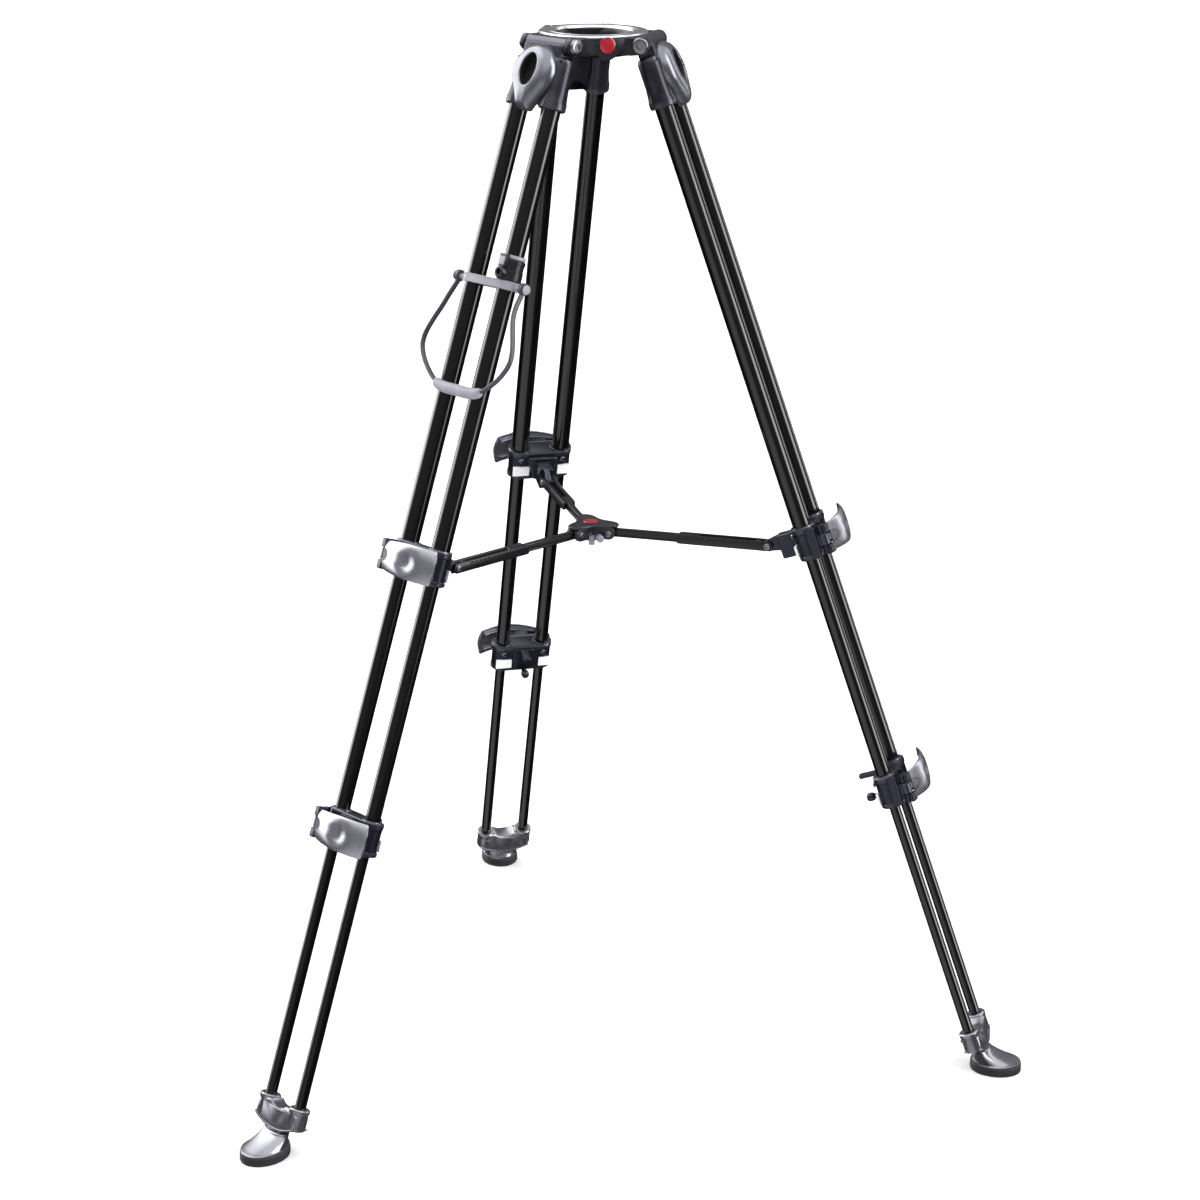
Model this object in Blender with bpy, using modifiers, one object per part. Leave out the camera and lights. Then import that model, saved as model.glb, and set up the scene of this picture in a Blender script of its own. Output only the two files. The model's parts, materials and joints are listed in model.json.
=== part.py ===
"""A twin-tube video tripod: three two-lock telescopic legs, a levelling-bowl crown,
a mid-level spreader and a carry handle on one leg.

The floor is z = 0 and the origin is the middle of the footprint. The rear leg points
along +Y. Each leg is built in its own frame: the origin is on the leg's hinge axis,
X runs along that axis, Y points outwards square to the tubes and Z points up the tubes,
so a place "at 0.5 m down the leg" has z = -0.5.
"""

from math import cos, pi, radians, sin, sqrt

import bmesh
import bpy
from mathutils import Matrix, Vector

MM = 0.001
GAP = 0.3 * MM  # left between two pieces that touch
PIVOT_PLAY = 0.4 * MM  # radial play of a pin in its eye
SIDE_PLAY = 0.5 * MM  # side play of a hinge between its ears
ROUND = 16  # sides of a tube or a round casting
SMALL_ROUND = 12  # sides of a pin, its hole or a stud
PAST = 50 * MM  # how far a cutter runs past what it goes through

# Stance
SPREAD = radians(19.8)  # lean of a leg when the spreader is flat
LEGS = {"front_left": radians(210), "front_right": radians(330), "rear": radians(90)}
HANDLE_LEG = "front_left"

# Tubes, outer radius of the widest stage first
TUBE_SPACING = 48 * MM
UPPER_RADIUS = 10 * MM
TUBE_WALL = 1.2 * MM
TUBE_PLAY = 0.8 * MM  # filled by the bushes of the real stage
MIDDLE_RADIUS = UPPER_RADIUS - TUBE_WALL - TUBE_PLAY
LOWER_RADIUS = MIDDLE_RADIUS - TUBE_WALL - TUBE_PLAY

# Lengths along a leg, all measured down from the hinge or between pieces
SHOULDER_LENGTH = 66 * MM
SOCKET_DEPTH = 30 * MM
UPPER_RUN = 526 * MM  # hinge to the first lock
LOCK_HEIGHT = 36 * MM
MIDDLE_RUN = 251 * MM  # first lock to second lock
LOWER_RUN = 273 * MM  # second lock to ankle
MIDDLE_INSERT = 226 * MM  # middle tube hidden above the first lock
LOWER_INSERT = 223 * MM  # lower tube hidden above the second lock
LOCK_STOP = 5 * MM  # ledge under the tube end inside a lock
ANKLE_HEIGHT = 26 * MM
ANKLE_DROP = 10 * MM  # ankle body to the foot pivot
ANKLE_SOCKET = 20 * MM

FIRST_LOCK = UPPER_RUN
SECOND_LOCK = FIRST_LOCK + LOCK_HEIGHT + MIDDLE_RUN
ANKLE = SECOND_LOCK + LOCK_HEIGHT + LOWER_RUN
FOOT_PIVOT = ANKLE + ANKLE_HEIGHT + ANKLE_DROP

# Crown and bowl
BOWL_RADIUS = 37.5 * MM  # seat of a 75 mm half ball
BOWL_LIP_RADIUS = 42 * MM
BOWL_NECK_RADIUS = 28.5 * MM
BOWL_WALL = 4.5 * MM
BALL_DROP = 2 * MM  # crown's top down to the half ball's centre
SEAT_DROPS = (4 * MM, 10 * MM, 16 * MM)  # ball's centre down to each ring of the seat
FLARE = 9 * MM  # the bowl's cutter past the crown's top and floor
RIM_WIDTH = 15 * MM
RIM_EDGE = 3 * MM
CROWN_RADIUS = BOWL_LIP_RADIUS + RIM_WIDTH
CROWN_ABOVE_HINGE = 10 * MM
CROWN_BELOW_HINGE = 15 * MM
CROWN_SKIRT = 6 * MM  # hinge down to the end of the crown's straight side
HINGE_OFFSET = CROWN_RADIUS + 3 * MM  # tripod axis to hinge axis
BARREL_RADIUS = 9 * MM
BOLT_RADIUS = 4 * MM
BOLT_HEAD_RADIUS = 8.3 * MM
BOLT_HEAD_HEIGHT = 3.2 * MM
EAR_THICKNESS = 7 * MM
EAR_MARGIN = 0.5 * MM  # ear's round past the barrel's
EAR_ROOT = 26 * MM  # hinge axis inwards to where an ear starts
EAR_SINK = 1 * MM  # ear's start inside the bridge that is cut for the barrel
BRIDGE_INSET = 5 * MM  # hinge axis inwards to the face between two ears
BADGE_RADIUS = 8.2 * MM
BADGE_HEIGHT = 1.8 * MM
BADGE_PAD_RADIUS = 11.5 * MM
BADGE_PAD_OUT = 1.5 * MM
BADGE_DROP = 0.6 * MM  # crown's top to the badge's edge

# Shoulder
SOCKET_WALL = 3 * MM
SOCKET_RADIUS = UPPER_RADIUS + SOCKET_WALL
SOCKET_NECK = 6 * MM  # barrel down to the top of the sockets
BARREL_HALF = TUBE_SPACING / 2 + 4.8 * MM
NECK_HALF = 8 * MM
WEB_HALF = 9 * MM
WEB_MARGIN = 2 * MM  # web's edge inside the sockets' ends
BOSS_RADIUS = 28 * MM
BOSS_TOP = 3 * MM  # hinge axis down to the boss
BOSS_TIP = 7 * MM  # boss's point past the sockets
BOSS_IN = 6 * MM
BOSS_OUT = 20 * MM
BOSS_SLOPE = 32  # degrees below level where the boss's round runs into its point
BOSS_ROUNDING = 3.5 * MM
BOSS_DISH = (10 * MM, 16 * MM)  # half width and half height of the oval recess
DISH_DEPTH = 9 * MM

# Locks
LOCK_WALL = 3 * MM
LOCK_DEPTH = UPPER_RADIUS + LOCK_WALL
LOCK_HALF_WIDTH = TUBE_SPACING / 2 + LOCK_DEPTH
LOCK_EDGE = 1.2 * MM
LOCK_ROOT = 2 * MM  # how far a lug or a peg starts inside the lock's wall
KNUCKLE_RADIUS = 5.5 * MM
KNUCKLE_HALF = 6 * MM
LEVER_PIVOT = (LOCK_HALF_WIDTH - 6 * MM, LOCK_DEPTH + 8 * MM)
LEVER_THICKNESS = 3.5 * MM
LEVER_TIP = 11 * MM  # how far the lever passes the end of the lock
LEVER_RISE = 15 * MM  # crown of the lever over its pivot
LEVER_PIN_RADIUS = 2 * MM
LEVER_HEEL = 3 * MM  # lever's end past its pivot
LEVER_EYE_INSET = 3 * MM  # lever's edge to the end of its eye
LEVER_WEB = (4 * MM, 6 * MM)  # half width and height of the rib over the eye

# Spreader
ARM_DROP = 16 * MM  # first lock's top edge to the arm pivot
ARM_INSET = 49 * MM  # tube plane to the arm pivot
ARM_PIN_RADIUS = 2.2 * MM
ARM_EYE_RADIUS = 6 * MM
TONGUE_HALF = 3 * MM
TONGUE_ROOT = 9 * MM  # half height of the tongue at the lug
LUG_HALF = 9 * MM
LUG_REACH = ARM_INSET - ARM_EYE_RADIUS - 7 * MM
LUG_MARGINS = (1 * MM, 3 * MM)  # lock's top and bottom edges to the lug
PEG_HALF = 4.5 * MM
PEG_THICKNESS = 5 * MM
PEGS = ((1.5 * MM, 22 * MM), (27 * MM, 20 * MM))  # drop and reach of the second lock's pegs
RAIL_THICKNESS = 3.6 * MM
ARM_HEIGHT = 10 * MM
BAR_HALF = 3 * MM
BRIDGE_CLEAR = 2.5 * MM  # fork's eye to the bridge between its rails
BRIDGE_LENGTH = 6 * MM
JOIN = 1 * MM  # how far joined shapes run into each other
HUB_PIVOT_RADIUS = 22 * MM
HUB_CORE_RADIUS = 12 * MM
HUB_CORE_DROP = 9 * MM
CHEEK = 5 * MM
CHEEK_ROOT = 4 * MM
CHEEK_MARGIN = 1 * MM
COVER_CLEAR = 0.6 * MM  # arm's eye to the cover over it
COVER = 3 * MM
BAR_LENGTH = 100 * MM
FORK_LENGTH = 100 * MM

# Foot
PIVOT_HEIGHT = 19.5 * MM  # foot pivot over the floor
FOOT_TONGUE_HALF = 9.5 * MM
FOOT_EYE_RADIUS = 8 * MM
FOOT_PIN_RADIUS = 3.2 * MM
SOLE_HALF_LENGTH = 28.5 * MM
SOLE_HALF_WIDTH = 23 * MM
SOLE_FORWARD = 16.5 * MM  # sole centre outwards of the pivot
SOLE_THICKNESS = 10 * MM
SOLE_EDGE = 1.2 * MM
SLOT_CLEAR = 1.2 * MM  # ankle's eye to the bottom of the boot's slot
SLOT_MOUTH = 4 * MM  # how much wider the slot is above the pivot
PIN_BITE = 2 * MM  # pin's end inside the boot's cheek
BOOT_HEIGHT = 14.5 * MM

# Carry handle
HANDLE_DOWN = 248 * MM  # hinge to the handle's studs
BAND_HEIGHT = 9 * MM
BAND_WALL = 2.5 * MM
CLAMP_WALL = 3 * MM
CLAMP_HEIGHT = 22 * MM
CLAMP_BOSS_RADIUS = 5 * MM
STUD_RADIUS = 3 * MM
STUD_HEAD = 2.2 * MM  # head's edge past the stud
STUD_HEAD_THICKNESS = 2.3 * MM
EYE_WALL = 3 * MM
EYE_HALF = 2.5 * MM
HANDLE_HALF = 48 * MM
HANDLE_BELLY = 66 * MM
HANDLE_HANG = 115 * MM
HANDLE_LEAN = 8 * MM
STRAP_RADIUS = 3 * MM
GRIP_RADIUS = 6 * MM

HINGE_HEIGHT = FOOT_PIVOT * cos(SPREAD) + PIVOT_HEIGHT
FOOT_REACH = HINGE_OFFSET + FOOT_PIVOT * sin(SPREAD)  # tripod axis to the foot pivots


# ---------------------------------------------------------------- modelling helpers

def clear_scene():
    for thing in list(bpy.data.objects):
        bpy.data.objects.remove(thing, do_unlink=True)


def collection(name, hidden=False):
    made = bpy.data.collections.new(name)
    bpy.context.scene.collection.children.link(made)
    made.hide_render = hidden
    return made


def trial(data):
    """A construction object, out of the render, that holds a mesh or a curve."""
    guide = bpy.data.objects.new("guide", data)
    guide.hide_render = True
    guide.display_type = "WIRE"
    CUTTERS.objects.link(guide)
    return guide


def settled(guide, others=()):
    """The evaluated mesh of a construction object, which is then removed."""
    bpy.context.view_layer.update()
    view = bpy.context.evaluated_depsgraph_get()
    mesh = bpy.data.meshes.new_from_object(guide.evaluated_get(view))
    for thing in (guide, *others):
        bpy.data.objects.remove(thing, do_unlink=True)
    return mesh


def edited(mesh, change):
    """The mesh after a change made with bmesh, faces pointing outwards."""
    work = bmesh.new()
    work.from_mesh(mesh)
    change(work)
    bmesh.ops.recalc_face_normals(work, faces=work.faces)
    work.to_mesh(mesh)
    work.free()
    return mesh


def moved(mesh, place):
    """The mesh after a change of place; a mirrored one has its faces turned back out."""
    mesh.transform(place)
    if place.determinant() < 0:
        mesh.flip_normals()
    return mesh


def shift(x=0.0, y=0.0, z=0.0):
    return Matrix.Translation((x, y, z))


AXIS_TURN = {
    "X": Matrix(((0, 0, 1), (1, 0, 0), (0, 1, 0))).to_4x4(),  # drawn in Y and Z
    "Y": Matrix(((1, 0, 0), (0, 0, 1), (0, 1, 0))).to_4x4(),  # drawn in X and Z
    "Z": Matrix.Identity(4),  # drawn in X and Y
}


def cylinder(radius, low, high, axis="Z", centre=(0.0, 0.0), sides=ROUND):
    """A round bar between two heights along an axis."""
    mesh = bpy.data.meshes.new("cylinder")

    def build(work):
        bmesh.ops.create_cone(
            work, cap_ends=True, segments=sides, radius1=radius, radius2=radius,
            depth=high - low, matrix=Matrix.Rotation(pi / sides, 4, "Z"),
        )

    edited(mesh, build)
    return moved(mesh, AXIS_TURN[axis] @ shift(*centre, (low + high) / 2))


def block(x, y, z):
    """A box from three pairs of limits."""
    mesh = bpy.data.meshes.new("block")
    size = [high - low for low, high in (x, y, z)]
    middle = [(high + low) / 2 for low, high in (x, y, z)]
    return edited(mesh, lambda work: bmesh.ops.create_cube(
        work, size=1.0, matrix=shift(*middle) @ Matrix.Diagonal((*size, 1))))


def plate(outline, low, high, axis="Z"):
    """A flat outline given its thickness between two heights along an axis."""
    curve = bpy.data.curves.new("outline", "CURVE")
    curve.dimensions = "2D"
    curve.fill_mode = "BOTH"
    curve.extrude = (high - low) / 2
    spline = curve.splines.new("POLY")
    spline.points.add(len(outline) - 1)
    for point, (across, along) in zip(spline.points, outline):
        point.co = (across, along, 0, 1)
    spline.use_cyclic_u = True
    mesh = settled(trial(curve))
    edited(mesh, lambda work: bmesh.ops.remove_doubles(work, verts=work.verts, dist=1e-6))
    return moved(mesh, AXIS_TURN[axis] @ shift(0, 0, (low + high) / 2))


def turned(profile, sides=ROUND, axis="Z", closed=True):
    """A profile of (radius, height) points, outer side top to bottom, turned about Z."""
    mesh = bpy.data.meshes.new("turned")
    links = [(i, i + 1) for i in range(len(profile) - 1)]
    if closed:
        links.append((len(profile) - 1, 0))
    mesh.from_pydata([(radius, 0, height) for radius, height in profile], links, [])
    guide = trial(mesh)
    screw = guide.modifiers.new("turn", "SCREW")
    screw.axis = "Z"
    screw.steps = sides
    screw.render_steps = sides
    screw.use_merge_vertices = True
    screw.merge_threshold = 1e-5
    return moved(edited(settled(guide), lambda work: None), AXIS_TURN[axis])


def rod(points, radius, resolution=2):
    """A round rod along a smooth curve through the points, as one closed mesh."""
    curve = bpy.data.curves.new("rod", "CURVE")
    curve.dimensions = "3D"
    curve.bevel_depth = radius
    curve.bevel_resolution = resolution
    curve.resolution_u = 5
    curve.render_resolution_u = 5
    curve.use_fill_caps = True
    spline = curve.splines.new("BEZIER")
    spline.bezier_points.add(len(points) - 1)
    for knot, place in zip(spline.bezier_points, points):
        knot.co = place
        knot.handle_left_type = "AUTO"
        knot.handle_right_type = "AUTO"
    mesh = settled(trial(curve))
    return edited(mesh, lambda work: bmesh.ops.remove_doubles(
        work, verts=work.verts, dist=1e-6))


def rounded(mesh, width, segments=1):
    """The mesh with its sharp edges rounded over."""
    guide = trial(mesh)
    bevel = guide.modifiers.new("round", "BEVEL")
    bevel.width = width
    bevel.segments = segments
    bevel.limit_method = "ANGLE"
    bevel.angle_limit = radians(40)
    return settled(guide)


def combine(base, joined=(), cut=()):
    """The base with every joined mesh added, then every cut mesh taken away."""
    body = trial(base)
    tools = []
    for operation, meshes in (("UNION", joined), ("DIFFERENCE", cut)):
        for mesh in meshes:
            tool = trial(mesh)
            tools.append(tool)
            step = body.modifiers.new(operation.lower(), "BOOLEAN")
            step.operation = operation
            step.object = tool
            step.solver = "EXACT"
    return settled(body, tools)


def arc(radius, start, end, steps, centre=(0.0, 0.0)):
    """Points on an arc, angles in degrees, both ends included."""
    turn = [radians(start + (end - start) * i / steps) for i in range(steps + 1)]
    return [(centre[0] + radius * cos(a), centre[1] + radius * sin(a)) for a in turn]


def oval(half_x, half_y, forward, count=20):
    """Points on an ellipse centred a little forward of the origin."""
    turns = [2 * pi * i / count for i in range(count)]
    return [(half_x * cos(a), forward + half_y * sin(a)) for a in turns]


def stadium(half_spacing, radius):
    """Two equal rounds joined by straight sides, as seen along the tubes."""
    right = arc(radius, -90, 90, 6, (half_spacing, 0))
    return right + arc(radius, 90, 270, 6, (-half_spacing, 0))


def loft(sections):
    """A skin over equal rings of points, (height, ring), closed at both ends."""
    mesh = bpy.data.meshes.new("loft")
    corners = [(x, y, height) for height, ring in sections for x, y in ring]
    count = len(sections[0][1])
    faces = [tuple(range(count)), tuple(range(len(corners) - count, len(corners)))]
    for level in range(len(sections) - 1):
        for i in range(count):
            j = (i + 1) % count
            low = level * count
            faces.append((low + i, low + j, low + count + j, low + count + i))
    mesh.from_pydata(corners, [], faces)
    return edited(mesh, lambda work: None)


# ---------------------------------------------------------------- finishes

def finish(name, colour, roughness, metallic=0.0):
    made = bpy.data.materials.new(name)
    made.use_nodes = True
    made.diffuse_color = (*colour, 1)
    shader = made.node_tree.nodes["Principled BSDF"]
    shader.inputs["Base Color"].default_value = (*colour, 1)
    shader.inputs["Roughness"].default_value = roughness
    shader.inputs["Metallic"].default_value = metallic
    return made


BLACK_TUBE = ((0.01, 0.01, 0.012), 0.2, 0.9)
CHARCOAL_CASTING = ((0.05, 0.05, 0.06), 0.35, 0.6)
DARK_CROWN = ((0.03, 0.03, 0.035), 0.35, 0.6)
SILVER_CASTING = ((0.55, 0.55, 0.58), 0.3, 0.8)
GREY_CASTING = ((0.3, 0.3, 0.33), 0.35, 0.7)
BRIGHT_STEEL = ((0.6, 0.6, 0.6), 0.2, 1.0)
RUBBER = ((0.02, 0.02, 0.02), 0.7, 0.0)
RED = ((0.6, 0.02, 0.04), 0.3, 0.0)
BLACK_PLASTIC = ((0.02, 0.02, 0.02), 0.4, 0.0)
GREY_STRAP = ((0.5, 0.5, 0.5), 0.4, 0.0)


def add_piece(name, mesh, look, parent=None, place=(0.0, 0.0, 0.0), turn=(0.0, 0.0, 0.0)):
    """A named sub-part with its own material, placed in its parent's frame."""
    piece = bpy.data.objects.new(name, mesh.copy())
    piece.data.name = name
    piece.data.materials.clear()
    piece.data.materials.append(finish(name, *look))
    piece.data.shade_smooth()
    piece.data.set_sharp_from_angle(angle=radians(35))
    piece.parent = parent
    piece.location = place
    piece.rotation_euler = turn
    PARTS.objects.link(piece)
    return piece


def add_frame(name, place, turn=(0.0, 0.0, 0.0), parent=None):
    frame = bpy.data.objects.new(name, None)
    frame.location = place
    frame.rotation_euler = turn
    frame.parent = parent
    PARTS.objects.link(frame)
    return frame


# ---------------------------------------------------------------- leg pieces

def tube_mesh(radius, top, bottom):
    """A drawn tube, heights down the leg."""
    bore = radius - TUBE_WALL
    return turned([(radius, -top), (radius, -bottom), (bore, -bottom), (bore, -top)])


def shoulder_mesh():
    """Die-cast shoulder: hinge barrel, two tube sockets and the big outer boss."""
    half = TUBE_SPACING / 2
    socket_top = BARREL_RADIUS + SOCKET_NECK
    edge = half + SOCKET_RADIUS - WEB_MARGIN
    inner = half - SOCKET_RADIUS
    web_low = -SHOULDER_LENGTH + WEB_MARGIN
    web = [
        (BARREL_HALF, -socket_top - WEB_MARGIN), (edge, -socket_top - SOCKET_NECK),
        (edge, web_low), (inner, web_low), (inner - SOCKET_WALL, web_low + BARREL_RADIUS),
    ]
    web += [(-x, z) for x, z in reversed(web)]
    neck = block((-BARREL_HALF, BARREL_HALF), (-NECK_HALF, NECK_HALF),
                 (-socket_top - NECK_HALF, 0))
    sockets = [cylinder(SOCKET_RADIUS, -SHOULDER_LENGTH, -socket_top, centre=(x, 0))
               for x in (-half, half)]
    boss_middle = -BOSS_RADIUS - BOSS_TOP
    teardrop = arc(BOSS_RADIUS, -BOSS_SLOPE, 180 + BOSS_SLOPE, 12, (0, boss_middle))
    teardrop += [(0, -SHOULDER_LENGTH - BOSS_TIP)]
    boss = rounded(plate(teardrop, BOSS_IN, BOSS_OUT, "Y"), BOSS_ROUNDING)
    dish = plate(
        [(x, z) for x, z in oval(*BOSS_DISH, boss_middle, SMALL_ROUND)],
        BOSS_OUT - DISH_DEPTH, BOSS_OUT + DISH_DEPTH, "Y",
    )
    barrel = cylinder(BARREL_RADIUS, -BARREL_HALF, BARREL_HALF, "X")
    bores = [
        cylinder(UPPER_RADIUS + GAP, -SHOULDER_LENGTH - PAST,
                 -SHOULDER_LENGTH + SOCKET_DEPTH, centre=(x, 0))
        for x in (-half, half)
    ]
    bolt_hole = cylinder(BOLT_RADIUS + GAP, -PAST, PAST, "X")
    web_mesh = plate(web, -WEB_HALF - JOIN, WEB_HALF, "Y")
    return combine(web_mesh, [*sockets, neck, barrel, boss], [dish, *bores, bolt_hole])


def bolt_mesh():
    """Hinge bolt: a shaft through ears and barrel with a flat round head at each end."""
    inside = BARREL_HALF + SIDE_PLAY + EAR_THICKNESS + GAP
    outside = inside + BOLT_HEAD_HEIGHT
    chamfer = 0.8 * MM
    half = [
        (0, outside), (BOLT_HEAD_RADIUS - chamfer, outside),
        (BOLT_HEAD_RADIUS, outside - chamfer), (BOLT_HEAD_RADIUS, inside),
        (BOLT_RADIUS, inside),
    ]
    return turned(half + [(r, -z) for r, z in reversed(half)], axis="X", closed=False)


def lock_mesh(tube_radius, next_radius, carries_arm):
    """Twin clamp collar, height measured down from its top edge at z = 0."""
    half = TUBE_SPACING / 2
    body = rounded(plate(stadium(half, LOCK_DEPTH), -LOCK_HEIGHT, 0), LOCK_EDGE)
    middle = -LOCK_HEIGHT / 2
    pivot_x, pivot_y = LEVER_PIVOT
    heights = (middle - KNUCKLE_HALF, middle + KNUCKLE_HALF)
    knuckle = cylinder(KNUCKLE_RADIUS, *heights, centre=LEVER_PIVOT)
    neck_half = KNUCKLE_RADIUS - JOIN
    neck = block((pivot_x - neck_half, pivot_x + neck_half),
                 (LOCK_DEPTH - LOCK_WALL - 2 * LOCK_ROOT, pivot_y), heights)
    joined = [knuckle, neck]
    cut = [cylinder(LEVER_PIN_RADIUS + PIVOT_PLAY, -PAST, PAST, centre=LEVER_PIVOT,
                    sides=SMALL_ROUND)]
    for x in (-half, half):
        cut.append(cylinder(tube_radius + GAP, -LOCK_HEIGHT + LOCK_STOP, PAST,
                            centre=(x, 0)))
        cut.append(cylinder(next_radius + 2 * GAP, -LOCK_HEIGHT - PAST, PAST,
                            centre=(x, 0)))
    root = -LOCK_DEPTH + LOCK_ROOT
    if carries_arm:
        above, below = LUG_MARGINS
        joined.append(block((-LUG_HALF, LUG_HALF), (-LUG_REACH, root),
                            (-LOCK_HEIGHT + below, -above)))
        tongue = arc(ARM_EYE_RADIUS, 100, 260, 8, (-ARM_INSET, -ARM_DROP))
        start = -LUG_REACH + LOCK_ROOT
        tongue += [(start, -ARM_DROP - TONGUE_ROOT), (start, -ARM_DROP + TONGUE_ROOT)]
        joined.append(plate(tongue, -TONGUE_HALF, TONGUE_HALF, "X"))
        cut.append(cylinder(ARM_PIN_RADIUS + PIVOT_PLAY, -PAST, PAST, "X",
                            (-ARM_INSET, -ARM_DROP), SMALL_ROUND))
    else:
        for drop, reach in PEGS:
            joined.append(block((-PEG_HALF, PEG_HALF), (-LOCK_DEPTH - reach, root),
                                (-drop - PEG_THICKNESS, -drop)))
    return combine(body, joined, cut)


def lever_mesh():
    """Clamp lever: an arched wing with two eyes round the lock's knuckle.

    Its origin is the pivot, and z = 0 is the middle of the lock's height.
    """
    far = -(LOCK_HALF_WIDTH + LEVER_TIP) - LEVER_PIVOT[0]
    steps = 8
    middle = far / 2
    top = []
    for i in range(steps + 1):
        x = LEVER_HEEL + (far - LEVER_HEEL) * i / steps
        across = (x - middle) / middle
        top.append((x, LEVER_RISE * (1 - 0.75 * across * across)))
    under = [(x, y - LEVER_THICKNESS) for x, y in reversed(top)]
    half = LOCK_HEIGHT / 2
    eye_half = half - LEVER_EYE_INSET
    wing = plate(top + under, -half, half)
    eye = cylinder(KNUCKLE_RADIUS - 0.5 * JOIN, -eye_half, eye_half)
    notch_half = KNUCKLE_HALF + SIDE_PLAY
    notch = block((-KNUCKLE_RADIUS - 1.5 * JOIN, PAST), (-PAST, PAST), (-notch_half, notch_half))
    pin = cylinder(LEVER_PIN_RADIUS, JOIN - eye_half, eye_half - JOIN, sides=SMALL_ROUND)
    web_half, web_height = LEVER_WEB
    web = block((-web_half, web_half), (0, web_height), (GAP - eye_half, eye_half - GAP))
    return combine(combine(wing, [eye, web], [notch]), [pin])


def ankle_mesh():
    """Silver casting that takes both lower tubes and carries the foot's pivot."""
    half = TUBE_SPACING / 2
    radius = SOCKET_RADIUS - 2.5 * MM
    body = rounded(plate(stadium(half, radius), -ANKLE_HEIGHT, 0), 1.5 * MM)
    drop = -ANKLE_HEIGHT - ANKLE_DROP
    tongue = arc(FOOT_EYE_RADIUS, 180, 360, 10, (0, drop))
    tongue += [(FOOT_EYE_RADIUS, -ANKLE_HEIGHT / 2), (-FOOT_EYE_RADIUS, -ANKLE_HEIGHT / 2)]
    eye = plate(tongue, -FOOT_TONGUE_HALF, FOOT_TONGUE_HALF, "X")
    bores = [cylinder(LOWER_RADIUS + GAP, -ANKLE_SOCKET, ANKLE_HEIGHT, centre=(x, 0))
             for x in (-half, half)]
    pin_hole = cylinder(FOOT_PIN_RADIUS + PIVOT_PLAY, -PAST, PAST, "X", (0, drop))
    return combine(body, [eye], [*bores, pin_hole])


def boot_mesh():
    """Cast boot over the rubber sole, its origin on the foot pivot."""
    bottom = -PIVOT_HEIGHT + SOLE_THICKNESS + GAP
    sections = [
        (bottom, oval(SOLE_HALF_WIDTH - 1 * MM, SOLE_HALF_LENGTH - 1 * MM, SOLE_FORWARD)),
        (bottom + 3.5 * MM, oval(SOLE_HALF_WIDTH - 1.5 * MM, SOLE_HALF_LENGTH - 3 * MM,
                                 SOLE_FORWARD - 1.5 * MM)),
        (bottom + 9 * MM, oval(SOLE_HALF_WIDTH - 3 * MM, 17 * MM, 6 * MM)),
        (bottom + BOOT_HEIGHT, oval(SOLE_HALF_WIDTH - 5 * MM, 8.2 * MM, 1 * MM)),
    ]
    slot_half = FOOT_TONGUE_HALF + SIDE_PLAY
    slot_radius = FOOT_EYE_RADIUS + SLOT_CLEAR
    mouth_half = slot_radius + SLOT_MOUTH
    opening = arc(slot_radius, 180, 360, 8)
    above = 2 * BOOT_HEIGHT
    opening += [(mouth_half, 0), (mouth_half, above), (-mouth_half, above), (-mouth_half, 0)]
    slot = plate(opening, -slot_half, slot_half, "X")
    pin_half = slot_half + PIN_BITE
    pin = cylinder(FOOT_PIN_RADIUS, -pin_half, pin_half, "X")
    return combine(combine(loft(sections), [], [slot]), [pin])


def sole_mesh():
    outline = oval(SOLE_HALF_WIDTH, SOLE_HALF_LENGTH, SOLE_FORWARD)
    low = -PIVOT_HEIGHT
    return rounded(plate(outline, low, low + SOLE_THICKNESS), SOLE_EDGE)


def fork_mesh():
    """Outer half of a spreader arm: two rails, open for the inner bar to slide between.

    Its origin is the pivot at the lock and it points inwards, along -Y.
    """
    inner = TONGUE_HALF + SIDE_PLAY
    outer = inner + RAIL_THICKNESS
    half = ARM_HEIGHT / 2
    side = arc(ARM_EYE_RADIUS, -60, 60, 6) + [(-FORK_LENGTH, half), (-FORK_LENGTH, -half)]
    rails = [plate(side, low, high, "X") for low, high in ((inner, outer), (-outer, -inner))]
    start = ARM_EYE_RADIUS + BRIDGE_CLEAR
    bridge = block((-inner - JOIN, inner + JOIN), (-start - BRIDGE_LENGTH, -start),
                   (0.5 * JOIN - half, half - 0.5 * JOIN))
    pin = cylinder(ARM_PIN_RADIUS, -inner - JOIN, inner + JOIN, "X", sides=SMALL_ROUND)
    return combine(bridge, [*rails, pin])


def bar_mesh():
    """Inner half of a spreader arm, its origin on the hub's pivot, pointing outwards."""
    half = ARM_HEIGHT / 2 - SIDE_PLAY
    side = arc(ARM_EYE_RADIUS - SIDE_PLAY, 60, 300, 12)
    side += [(BAR_LENGTH, -half), (BAR_LENGTH, half)]
    hole = cylinder(ARM_PIN_RADIUS + PIVOT_PLAY, -PAST, PAST, "X", sides=SMALL_ROUND)
    return combine(plate(side, -BAR_HALF, BAR_HALF, "X"), [], [hole])


# ---------------------------------------------------------------- crown and hub

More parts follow.
